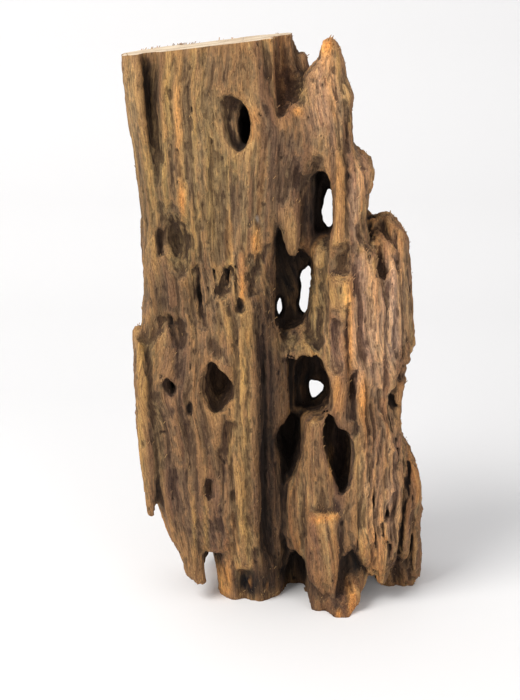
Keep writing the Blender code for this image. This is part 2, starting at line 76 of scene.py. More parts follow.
bodySettings = {
    "growVoxel": 0.80, "growSmoothing": 4,      # first skin over slabs, strands and hollows
    "wornVoxel": 0.62, "wornSmoothing": 1,      # second skin, once flutes and furrows are in
    "triangles": 192000, "boxGap": 0.005,       # how far the finer wood stays inside the solid's box
    "sawCorner": (-60.0, 10.0, 221.9), "sawRiseRight": 0.118, "sawRiseBack": 0.030,
    "ringPoints": 32, "slabSquareness": 4.6, "strandSquareness": 2.7, "webSquareness": 2.0,
    "burrowPoints": 24, "burrowWave": 0.07,
    "wanderLength": 26.0, "wander": 1.1, "wanderSeed": 3.7,
    "fluteWidth": 7.5, "fluteLength": 90.0, "fluteDepth": 0.8, "boldFluteDepth": 1.4,
    "boldFlutesFrom": 28.0, "boldFlutesOver": 10.0, "fluteSeed": 11.3,
    "grainLean": -0.07,                         # drift of the grain to the left for each mm up
}

# Broad slabs of wood, each a list of level sections (z, left, right, front, back)
slabs = {
    "upper slab": [
        (98, -50.5, -8, 12, 54), (118, -52.4, -7, 10.6, 55), (130, -52.8, -6, 10.6, 56),
        (142, -53.2, -4.5, 11, 57), (150, -53.8, -2.5, 11.5, 58), (160, -54.6, 7.0, 11.5, 58),
        (172, -55.3, 11, 11.5, 57), (186, -56.6, 14, 11, 56), (200, -58.0, 12, 10.5, 55),
        (212, -59.1, 9, 10, 54), (222, -60.3, 5, 10, 53), (238, -61.6, 3, 10, 52),
    ],
    "lower slab": [
        (22, -42, -22, 13, 34), (28, -46, -14, 11.5, 42), (40, -50.4, -10, 10, 48),
        (60, -54.4, -8.5, 9.5, 52), (88, -56.8, -8, 9, 54), (106, -56.4, -8, 9.2, 55),
        (122, -55.0, -9, 10.2, 54), (132, -52, -12, 11.5, 52),
    ],
}

# Strands and ropes of wood that run up the body, in the same form
strands = {
    "edge splinter": [
        (38.5, -53.4, -50.8, 9.5, 12.5), (43, -54.2, -50.0, 8.8, 15), (60, -55.8, -50.5, 8.4, 20),
        (96, -57.6, -52, 8.4, 22), (111, -57.8, -53, 8.4, 20), (118.5, -58.2, -55.6, 9.5, 14),
    ],
    "ledge peak": [
        (96, -50, -41, 8.6, 20), (111, -49.0, -42.5, 8.6, 20), (116, -47.4, -43.6, 8.8, 18),
        (120.5, -46.2, -44.4, 9.6, 16),
    ],
    "prong": [
        (7.4, -35.0, -30.0, 13.0, 17), (12, -38.6, -30.0, 12.0, 22), (20, -40.4, -30.4, 11.5, 26),
        (32, -47, -29, 11.0, 32),
    ],
    "left foot": [
        (-5, -25.5, 1.5, 15.5, 51), (5, -25.8, 3.4, 15, 53), (13, -27.0, 2.0, 14, 54),
        (24, -28.6, -4, 12.5, 54), (45, -31, -8, 10.5, 54),
    ],
    "gold ridge": [
        (15, -19.5, -9.3, 12.6, 30), (32, -20.5, -8.8, 9.6, 30), (60, -19.8, -8.3, 7.2, 30),
        (90, -18.5, -7.8, 6.9, 30), (116, -17.5, -9, 8.2, 30), (142, -16.5, -7, 10.4, 30),
        (158, -15, -4, 11.4, 30),
    ],
    "valley floor": [
        (12, -11, 2.6, 20, 36), (40, -11, 2.2, 18.8, 36), (54, -11, 0.8, 18.0, 36),
        (64, -11, 0.8, 17.2, 36), (80, -11, 3.2, 15.6, 36), (100, -12, 3.2, 14.2, 36),
        (112, -13, 1.0, 13.4, 36), (122, -14, -2.6, 12.8, 36), (142, -14, -2.4, 12.4, 36),
        (162, -14, 2.0, 12.0, 36),
    ],
    "back wall": [
        (-5, 1, 15, 24, 44), (10, -3, 30, 24, 52), (24, -8, 42, 24, 57),
        (60, -12, 46, 27, 59), (112, -12, 44, 28, 59), (150, -14, 40, 28, 58),
        (161, -14, 34, 28, 57), (172, -14, 34.0, 28, 57), (180, -14, 31, 28, 56),
        (192, -14, 27, 28, 55), (206, -14, 20, 29, 54), (215, -14, 12.8, 29.5, 52),
        (221, -14, 6.4, 30, 50), (227, -14, 3.6, 30, 46),
    ],
    "tooth": [
        (145.4, 4.4, 5.4, 11.8, 14), (149.4, 3.4, 6.4, 11.4, 17), (155, 1.6, 7.6, 11.2, 20),
        (163, -3, 8.5, 11.6, 24), (176, -4, 11, 14.0, 26),
    ],
    "spike": [
        (132, 18, 29, 9.6, 34), (150, 19.8, 31, 10.2, 35), (165, 20.3, 33.2, 11.0, 35),
        (178, 16, 33, 11.6, 35), (190, 9, 27.6, 11.8, 35), (202, 9.5, 26.4, 12.2, 33),
        (207, 10.0, 27.2, 12.4, 31), (210.6, 11.5, 25.4, 12.6, 30), (214, 12.6, 24.0, 13.0, 28),
        (220, 13.2, 23.4, 13.4, 26), (225, 13.4, 21.8, 13.8, 23), (228.4, 15.2, 19.6, 14.8, 20),
    ],
    "spike flank": [
        (178, 4, 22, 13.0, 32), (186, 3, 21, 11.6, 32), (196, 2, 20, 11.3, 31), (204, 6.0, 20, 11.8, 30),
        (210, 8.4, 20, 12.4, 29), (217, 10.4, 20, 13.0, 27), (222, 12.8, 19, 13.6, 25),
    ],
    "window cheek": [
        (144, 5, 12.4, 19, 30), (150, 5, 13.2, 17.4, 30), (163, 5, 13.2, 16.4, 30), (174, 5, 13.8, 14.6, 30),
        (184, 5, 14, 12.4, 30),
    ],
    "window sill": [(142, 11, 22, 13.6, 34), (149, 12, 22, 15.6, 34), (153, 12, 22, 20, 34)],
    "lobe cup": [
        (138, 33, 42, 15.6, 40), (149, 33.5, 42, 17.6, 40), (154, 34, 42, 21, 41),
        (157.6, 35, 41, 26, 41),
    ],
    "cave sill": [
        (22, 4.6, 9, 17.4, 30), (29, 2.6, 9, 17, 30), (42, 2.4, 9, 16.4, 30), (50, 2.8, 8, 17, 30),
        (57, 3.6, 6, 20, 30),
    ],
    "golden bar": [
        (140, 19.2, 25.6, 9.4, 20), (150, 19.4, 26.6, 9.0, 20), (166, 19.4, 27.0, 9.4, 20),
        (180, 19.0, 26.0, 10.4, 22), (190, 18.4, 22.6, 11.0, 22), (202, 17.5, 20.6, 11.8, 20),
    ],
    "shoulder": [
        (146, 26, 33.6, 18, 40), (161, 26, 33.9, 16, 39), (168, 24, 34.4, 14.8, 37),
        (177, 24, 36.6, 15, 36), (183, 24, 34.0, 16, 34), (188, 22, 29.4, 17, 32),
    ],
    "shoulder root": [
        (124, 33, 38, 14, 28), (138, 31, 36.5, 14, 28), (150, 28, 34.4, 13.6, 28),
        (164, 25, 32.2, 13, 28), (180, 22, 29.4, 12.6, 26), (196, 20, 26.8, 13, 26),
    ],
    "flank": [
        (102, 14, 22, 12, 34), (114, 11.6, 22, 14, 34), (128, 11.4, 22, 15, 34),
        (140, 12.2, 22, 14.6, 34), (148, 14, 22, 14, 34),
    ],
    "saddle": [
        (104, 0.5, 20, 11, 34), (110, 1, 20, 14.5, 34), (116, 2, 20, 20, 36), (121, 4, 20, 26, 38),
    ],
    "centre plate": [
        (5.2, 18.0, 20.6, 6.5, 10), (8, 15.2, 22.4, 6.0, 14), (14, 11.6, 24.8, 5.6, 20),
        (20, 11.0, 25.0, 5.6, 24), (26.4, 10.6, 29.6, 5.8, 26), (40, 9.8, 34, 6.4, 28),
        (60, 9.0, 33.5, 7.0, 30), (78, 9.5, 33, 7.8, 32), (100, 14.5, 33, 8.4, 34),
        (120, 17.0, 31, 8.8, 34), (142, 18.0, 29, 9.6, 33),
    ],
    "plate fill": [
        (17.6, 33.8, 37, 9.6, 28), (24, 30.8, 37, 8.8, 28), (31, 27, 38, 8.0, 28),
        (48, 28, 38.4, 8.2, 28), (74, 29, 38, 8.4, 28),
    ],
    "column fill": [
        (92, 38, 47, 13.4, 40), (120, 37, 48, 12.2, 40), (138, 37.4, 47, 14.6, 40), (150, 39, 45, 20, 40),
    ],
    "low plate": [
        (4.4, 18.6, 19.8, 5.0, 9), (8.6, 16.6, 22.6, 3.8, 12), (14.6, 12.4, 23.9, 3.0, 16),
        (18.4, 11.6, 24.2, 2.7, 17), (26, 11.5, 24.6, 2.6, 18), (37, 11.5, 24.6, 2.9, 18),
        (41.4, 11.6, 24.4, 3.2, 18), (42.4, 12.4, 23.6, 4.4, 16),
    ],
    "inner lip": [
        (20.0, 9.4, 12, 13.5, 30), (24, 6.4, 12, 13.2, 30), (32, 4.4, 12, 13, 30), (42, 4.4, 12, 12.6, 30),
        (54, 6.0, 12, 12.6, 30), (62, 8.4, 12, 12, 28),
    ],
    "finger": [
        (80.6, 22.0, 24.8, 8.6, 12), (85, 20.8, 25.8, 7.4, 16), (95, 20.4, 25.9, 6.9, 18),
        (110, 19.3, 26.2, 7.4, 20), (122, 18.6, 26.2, 8.4, 20),
    ],
    "tan block": [
        (116, 19.0, 26.6, 8.2, 20), (124, 18.4, 27.4, 6.8, 20), (136.6, 18.0, 27.6, 6.2, 20),
        (138.4, 18.4, 27.2, 6.6, 18),
    ],
    "orange edge": [
        (58, 32.6, 37.0, 10.0, 22), (72, 31.4, 35.8, 8.4, 22), (88, 30.4, 34.8, 7.8, 22),
        (97, 30.6, 33.6, 8.2, 20), (106, 27.0, 31.0, 8.2, 20), (120, 25.6, 30.2, 8.2, 20),
        (131, 25.8, 29.4, 8.4, 18),
    ],
    "side plate": [
        (9.0, 40.4, 43.0, 13.5, 19), (15, 35.4, 43.6, 12.5, 24), (24, 32.8, 44, 11.5, 27),
        (42, 31.5, 44.5, 10.8, 29), (70, 33, 43.2, 10.4, 31), (100, 29, 42, 9.8, 32),
        (126, 27.8, 41.6, 9.2, 32), (138, 28.0, 38.6, 10.2, 29), (144, 28.2, 36.6, 10.8, 26),
        (149, 28.6, 34.4, 11.6, 23), (153, 29.0, 31.8, 12.4, 20),
    ],
    "side plate tip": [
        (128, 34.4, 39.6, 11.2, 24), (139, 34.8, 38.4, 12.0, 22), (146, 35.4, 37.2, 13.2, 18),
    ],
    "front foot": [
        (-5, 21.6, 28.2, -1.8, 13), (1, 19.6, 30.4, -1.2, 19), (8, 14.0, 34.0, 4.6, 29),
        (16, 13, 37.0, 12.6, 38), (30, 14, 36, 14.5, 44),
    ],
    "foot side": [(-5, 13.4, 24, 5.0, 18), (3, 12.2, 24, 4.4, 22), (14, 11.4, 24, 7.0, 28)],
    "right column": [
        (-5, 44.5, 56.0, 28.6, 57), (4, 43.6, 59.0, 27.4, 60), (16, 42, 58.4, 26, 60),
        (30, 38, 57.4, 22, 60), (52, 37, 56.0, 21.5, 59), (59, 37, 53.0, 21.5, 58),
        (66, 36, 47.8, 20, 57), (80, 36, 47.4, 20, 56), (90, 36, 49.4, 20, 55),
        (107, 36, 52.0, 21.5, 55), (122, 36, 50.6, 22, 54), (146, 36.5, 49.8, 23, 52),
        (154, 37, 47.6, 24, 48), (158.4, 38.5, 44.8, 26, 41),
    ],
    "column rope": [
        (100, 47.0, 51.6, 20, 34), (107, 47.6, 53.4, 19.5, 34), (124, 46.8, 51.8, 20, 34),
        (140, 46.4, 51.2, 20.6, 34), (150, 44.6, 50.2, 21.4, 36), (156, 42.2, 47.4, 23, 36),
        (159.4, 39.6, 43.8, 25, 34),
    ],
    "inner rope": [
        (84, 37.5, 44.0, 12.8, 24), (100, 40.0, 47.0, 13.6, 26), (116, 40.6, 48.0, 14.8, 28),
        (132, 40.4, 47.4, 16.4, 30), (146, 40.0, 46.4, 18.6, 30),
    ],
    "winding rope": [
        (11, 42.0, 46.0, 18, 30), (22, 43.2, 48.8, 16, 32), (36, 44.8, 50.4, 14.6, 32),
        (50, 44.2, 50.0, 13.6, 32), (64, 41.6, 47.4, 13.0, 30), (78, 39.4, 44.6, 12.6, 28),
        (92, 38.0, 43.2, 12.4, 28),
    ],
    "outer rope": [
        (4, 54.0, 59.2, 28.4, 44), (14, 54.6, 59.6, 26, 42), (28, 54.0, 58.2, 23, 40),
        (44, 53.0, 57.8, 21, 38), (54, 51.6, 56.8, 19.5, 36), (61, 48.6, 53.0, 18.5, 34),
        (72, 44.6, 47.6, 18, 32), (84, 44.2, 48.4, 18, 32), (93, 45.2, 50.0, 18.6, 32),
    ],
    "middle rope": [
        (16, 48.4, 53.4, 21, 36), (30, 50.0, 54.4, 19, 34), (46, 50.2, 54.8, 17.4, 32),
        (60, 47.6, 51.8, 16.4, 30), (74, 44.0, 48.2, 15.6, 28), (84, 42.4, 46.4, 15.6, 28),
    ],
    "flap rope": [
        (14, 35.0, 39.0, 12.4, 22), (30, 34.6, 38.8, 10.6, 22), (46, 34.8, 39.6, 9.6, 22),
        (60, 35.8, 40.6, 9.6, 22), (74, 36.6, 41.0, 10.2, 22),
    ],
    "back rope 1": [
        (12, -38, -27, 40, 57), (50, -50, -37, 42, 60.5), (110, -51, -38, 42, 61),
        (170, -48, -36, 42, 61), (238, -52, -38, 40, 56),
    ],
    "back rope 2": [
        (-5, -23, -10, 36, 55), (40, -31, -17, 42, 60.5), (90, -33, -20, 42, 62),
        (150, -30, -18, 42, 60), (196, -30, -20, 40, 57),
    ],
    "back rope 3": [
        (34, -12, 2, 42, 61), (90, -8, 6, 44, 63.5), (150, -12, 2, 44, 62.5), (238, -18, -6, 38, 55),
    ],
    "back rope 4": [
        (2, 8, 22, 38, 57), (40, 10, 24, 42, 63), (96, 12, 26, 44, 65), (140, 8, 20, 44, 63),
        (190, 2, 14, 42, 58),
    ],
    "back rope 5": [
        (14, 28, 44, 42, 60), (60, 30, 46, 44, 65.5), (110, 28, 44, 44, 65), (150, 22, 36, 42, 60),
        (184, 16, 26, 40, 56),
    ],
    "back rope 6": [
        (-5, 47, 57, 44, 58), (30, 47, 59.4, 44, 62), (52, 46, 58.0, 44, 61), (63, 42, 50.6, 44, 60),
        (80, 40, 49.4, 44, 59), (96, 42, 51.8, 44, 58), (110, 42, 53.6, 42, 57), (132, 40, 51.6, 42, 55),
    ],
    "rim bump": [(212, 1.0, 8.6, 29, 40), (221, 2.4, 6.6, 30, 38), (226.6, 3.2, 5.0, 31, 36)],
    "lower rim bump": [(206, 5.0, 13.0, 28, 40), (216, 6.2, 10.8, 29.5, 38), (222.6, 7.2, 9.4, 31, 36)],
    "left side rope": [
        (38, -51.5, -44, 30, 42), (70, -57.2, -48, 28, 44), (104, -57.6, -48, 28, 44),
        (120, -54.6, -46, 30, 46), (162, -55.6, -46, 30, 46), (200, -59.6, -50, 28, 44),
        (238, -63.2, -50, 28, 44),
    ],
}

# Hollows worn in from the front or the back, each a list of sections (y, x, z, half width, half height)
burrows = {
    "foot arch": [(-8, 7.4, 6, 5.0, 17.4), (20, 6.9, 6, 5.0, 16.4), (34, 7.4, 5, 4.0, 13)],
    "side hollow": [(8, 39.2, 142.0, 3.2, 7.0), (17, 39.4, 142.4, 2.6, 5.4), (21, 39.6, 142.6, 1.2, 3)],
    "rope gap": [(8, 43.4, 41, 1.3, 6.0), (20, 43.2, 40, 1.2, 5.0), (25, 43, 40, 0.7, 3)],
    "back hollow": [(74, 33, 104, 6.4, 22), (60, 33, 104, 5.2, 19), (50, 33, 105, 3, 11)],
    "back niche": [(74, -36, 168, 5.4, 17), (58, -35, 168, 4.6, 14), (48, -34, 168, 2.6, 8)],
    "back low hole": [(74, -14, 66, 6, 12), (56, -14, 66, 5.0, 10), (42, -14, 67, 3, 6)],
}

# Gaps worn along the grain, as level sections of a strand
gullies = {
    "edge groove": [(168, -48.4, -46.0, 8, 12.5), (184, -50.6, -44.4, 4, 15.5),
                    (204, -52.8, -45.6, 4, 18), (240, -55.0, -46.8, 4, 19)],
    "ledge recess": [(109.5, -52.4, -49.6, 4, 12.2), (113, -55.6, -47.6, 4, 13.4),
                     (117, -64, -45.2, 4, 13.8), (126, -66, -43.4, 4, 13.2), (138, -56, -44.4, 4, 12.0),
                     (152, -51.5, -48, 4, 11.6)],
    "scoop": [(199.0, -1.8, 2.2, 8, 15), (206, -2.8, 7.4, 4, 22), (214, -3.4, 10.8, 4, 27),
              (222, -3.6, 14.6, 4, 29.5), (240, -3.8, 15.6, 4, 30)],
    "right gap": [(-6, 36.6, 43.4, 4, 70), (9, 37.0, 42.6, 4, 70), (17, 38.2, 41.0, 4, 70)],
    "prong gap": [(8, -30.6, -25.8, 8, 70), (18, -30.8, -28.6, 8, 70), (27, -30.2, -29.0, 8, 70)],
    "left side furrow": [(52, -64, -55.0, 22, 28), (100, -66, -53.6, 22, 28), (158, -66, -53, 23, 29),
                         (204, -68, -57.4, 22, 27)],
    "right side furrow": [(14, 57.4, 70, 40, 45), (58, 54, 70, 39, 45), (100, 49.0, 70, 37, 43),
                          (142, 48.6, 70, 36, 41)],
    "back furrow": [(60, -17.5, -12.5, 56, 80), (120, -18, -11, 55, 80), (180, -19.5, -13.6, 54, 80),
                    (244, -26, -20, 50, 80)],
}

# Furrows pressed into the front, each a list of (x, z, half width, depth)
furrows = [
    [(-42.0, 163, 5.0, 1.5), (-40.5, 152, 7.5, 4.4), (-38.5, 142, 6.0, 2.0)],
    [(-47.2, 155, 1.8, 3.0), (-46.8, 147, 1.8, 3.0)],
    [(-33.0, 141, 2.0, 2.4), (-32.0, 130, 2.4, 3.6), (-30.0, 118, 2.4, 1.4)],
    [(-20.5, 140, 2.6, 3.4), (-22.5, 132, 3.0, 2.2)],
    [(-20.0, 78, 2.6, 1.6), (-24.0, 66, 3.0, 1.8), (-25.0, 34, 2.6, 1.4)],
    [(-52.0, 106, 2.0, 0.4), (-51.0, 62, 2.0, 0.6), (-50.4, 46, 1.6, 0.8)],
    [(24.2, 150, 3.6, 0.8), (23.4, 144, 4.8, 1.5), (23.0, 140.5, 4.4, 1.2)],
    [(22.4, 120, 3.2, 1.6), (22.6, 104, 3.0, 0.8)],
    [(26.4, 128, 1.2, 1.6), (26.6, 104, 1.4, 1.8), (28.6, 92, 2.2, 2.2), (28.6, 82, 2.6, 1.4)],
    [(32.4, 60, 1.4, 0.7), (32.6, 44, 1.5, 0.9), (32.0, 26, 1.4, 0.8)],
    [(26.0, 186, 1.2, 1.2), (25.0, 200, 1.2, 1.1), (22.4, 214, 1.0, 0.6)],
    [(26.2, 178, 0.9, 0.8), (26.4, 160, 0.9, 0.9), (26.2, 148, 0.9, 0.6)],
]

# Hollows with worn rims that show from the front: a rim of (x, z) points, and how it runs
# back as (y, shift right, shift up, scale)
rims = {
    "knot hole": (
        [(-24.5, 206.5), (-21.5, 207.6), (-19.0, 208.6), (-16.5, 207.0), (-13.5, 205.8), (-11.5, 203.0),
         (-10.5, 198.0), (-10.9, 192.0), (-12.4, 187.4), (-15.5, 185.2), (-18.5, 187.0), (-20.8, 191.0),
         (-22.8, 197.0)],
        [(2, 0, 0, 1.0), (10.8, 0, 0, 0.99), (11.7, 0.4, 0, 0.94)]),
    "knot shelf": (
        [(-22.6, 205.4), (-20.0, 206.8), (-16.0, 206.4), (-12.8, 204.6), (-10.9, 198.0), (-11.2, 191.6),
         (-13.0, 187.2), (-15.8, 185.8), (-18.6, 188.0), (-20.8, 193.0), (-21.8, 199.0)],
        [(2, 0, 0, 1.0), (12.2, 0, 0, 0.99), (13.0, 0.4, 0, 0.95)]),
    "knot cup": (
        [(-20.6, 204.6), (-18.4, 205.8), (-15.5, 205.6), (-12.4, 204.0), (-10.9, 198.0), (-11.3, 192.0),
         (-13.0, 187.4), (-15.6, 186.0), (-18.0, 188.6), (-19.8, 193.4), (-20.6, 199.0)],
        [(2, 0, 0, 0.98), (13.8, 0, 0, 0.96), (15.4, 0.8, 0, 0.86)]),
    "knot bore": (
        [(-17.3, 197.0), (-16.3, 202.4), (-14.2, 205.0), (-11.9, 203.0), (-10.6, 197.0), (-11.3, 190.4),
         (-13.4, 187.0), (-15.8, 188.6)],
        [(2, 0, 0, 1.0), (16, 0, 0, 1.0), (28, 2.0, -0.4, 0.9), (40, 5.0, -1, 0.6)]),
    "left hole": (
        [(-28.4, 105.4), (-23.0, 101.6), (-20.0, 98.6), (-17.9, 94.0), (-18.2, 89.0), (-20.6, 85.6),
         (-23.4, 83.0), (-26.0, 81.8), (-29.0, 86.0), (-30.6, 91.0), (-30.8, 97.0), (-29.4, 102.0)],
        [(2, 0, 0, 1.0), (12.5, 0, 0, 0.98), (18, 0.2, 0.6, 0.86), (24, 0.0, 1.4, 0.5)]),
    "small hole": (
        [(-47.4, 96.6), (-45.2, 98.8), (-42.6, 97.6), (-41.0, 94.4), (-41.4, 90.4), (-43.6, 89.0),
         (-45.8, 91.6)],
        [(2, 0, 0, 1.0), (11.6, 0, 0, 0.96), (13.4, 0.8, -0.4, 0.66), (20, 2.0, -1, 0.4)]),
    "low oval": (
        [(-31.0, 51.4), (-29.8, 55.6), (-27.8, 56.8), (-26.2, 53.0), (-26.3, 48.0), (-28.2, 45.2),
         (-30.4, 47.0)],
        [(2, 0, 0, 1.0), (11.6, 0, 0, 0.95), (15, 0.3, 0, 0.5)]),
    "upper window": (
        [(17.4, 177.6), (15.4, 175.4), (14.0, 170.6), (13.4, 163.0), (13.6, 158.0), (14.6, 154.6),
         (16.8, 153.2), (19.4, 153.6), (20.6, 156.4), (20.8, 162.0), (20.4, 170.0), (19.4, 175.4)],
        [(2, 0, 0, 1.0), (14, 0, 0, 1.0), (22, 0.4, 0, 0.97), (29, 1.6, -1.0, 0.86)]),
    "lower window": (
        [(2.0, 81.0), (1.6, 90.0), (2.0, 100.0), (6.0, 100.8), (7.2, 104.0), (9.5, 106.3), (14.0, 106.4),
         (16.6, 104.0), (18.2, 98.6), (20.0, 97.2), (21.0, 90.0), (20.6, 85.0), (16.0, 80.0), (10.0, 78.4),
         (5.0, 79.0)],
        [(2, 0, 0, 1.0), (14, 0, 0, 0.99), (24, 0.2, -0.3, 0.95), (34, 1.2, -1.4, 0.82)]),
    "middle cave": (
        [(-3.2, 118.0), (-3.5, 130.0), (-3.2, 145.0), (-2.6, 154.0), (-0.4, 159.6), (1.6, 156.0),
         (2.6, 151.0), (4.4, 146.2), (6.0, 149.6), (8.6, 149.4), (11.0, 147.6), (13.0, 144.6),
         (13.5, 138.0), (13.0, 130.0), (12.2, 122.0), (9.0, 117.2), (4.0, 115.4), (0.0, 114.8)],
        [(2, 0, 0, 1.0), (14, 0, 0, 1.0), (23, 0.4, -1.0, 0.97), (31, 1.4, -2.6, 0.84)]),
    "lower cave": (
        [(-2.5, 70.0), (-1.0, 75.5), (1.0, 78.0), (4.0, 79.5), (8.0, 79.5), (9.4, 76.0), (8.8, 66.0),
         (7.6, 60.0), (6.0, 55.0), (4.0, 51.0), (2.0, 55.0), (0.0, 60.0), (-2.0, 66.0)],
        [(2, 0, 0, 1.0), (20, 0, 0, 1.0), (30, 0.2, 0, 0.9), (40, 0.4, 0, 0.6)]),
    "side cave": (
        [(19.0, 84.0), (17.5, 76.0), (17.5, 70.0), (19.0, 64.0), (20.5, 58.0), (22.0, 54.0), (24.5, 48.5),
         (28.0, 52.0), (29.5, 58.0), (29.8, 66.0), (28.6, 72.0), (26.5, 76.5), (23.5, 77.0), (21.5, 81.5)],
        [(2, 0, 0, 1.0), (14, 0, 0, 0.99), (21, 0.2, 0.4, 0.92), (27, 0.4, 0.8, 0.7)]),
    "niche": (
        [(26.8, 91.0), (27.4, 95.6), (29.0, 100.2), (30.4, 102.0), (32.2, 101.0), (31.8, 96.0), (30.6, 90.0),
         (28.6, 86.6)],
        [(2, 0, 0, 1.12), (8.6, 0, 0.4, 1.08), (11.0, -0.4, 2.0, 0.7)]),
}

# Mouths of light at the back of the windows: a rim of (x, z) points as seen at the front of the wood
eyes = {
    "upper eye": [(17.6, 172.6), (16.2, 168.5), (15.6, 164.0), (16.4, 160.2), (18.6, 157.4), (20.8, 160.0),
                  (21.4, 166.0), (20.4, 171.0)],
    "middle eye": [(11.0, 142.6), (9.5, 140.3), (8.2, 139.6), (7.0, 136.7), (7.6, 134.0), (7.3, 131.0),
                   (6.8, 129.0), (7.5, 126.0), (9.0, 124.6), (10.8, 124.2), (11.8, 128.0), (12.4, 135.0),
                   (12.3, 139.4)],
    "drain eye": [(-1.9, 126.0), (-1.3, 130.0), (0.9, 129.4), (1.4, 125.2), (0.4, 122.4), (-1.4, 122.8)],
    "lower eye": [(11.8, 96.2), (15.0, 95.2), (17.1, 93.6), (16.4, 91.6), (15.0, 90.2), (14.0, 88.2),
                  (12.6, 89.8), (11.9, 92.8)],
}
eyeRun = (26.0, 36.0, 46.0, 72.0)             # depths of the mouths' sections
eyeFlare = (1.28, 1.26, 1.28, 1.5)            # how much wider than the rim they are there
eyeFace = 12.0                                # depth at which the rims are given
eyePoint = (-8.0, -507.0, 235.0)              # the mouths run along lines of sight from here

# Web of old wood that still stands in the lower window, as level sections like the strands'
webs = {
    "window web": [(78, 4.4, 6.0, 27, 31), (90, 5.0, 6.0, 27, 31), (104, 5.4, 7.0, 26, 31)],
}

# Strands that are squarer or rounder than the rest
squarer = {"low plate": 5.4, "centre plate": 3.6, "side plate": 4.2, "finger": 3.4, "tan block": 6.0,
           "gold ridge": 3.4, "golden bar": 2.4, "inner lip": 3.4, "front foot": 3.4, "foot side": 3.2,
           "plate fill": 4.0, "spike": 3.4, "spike flank": 4.0}

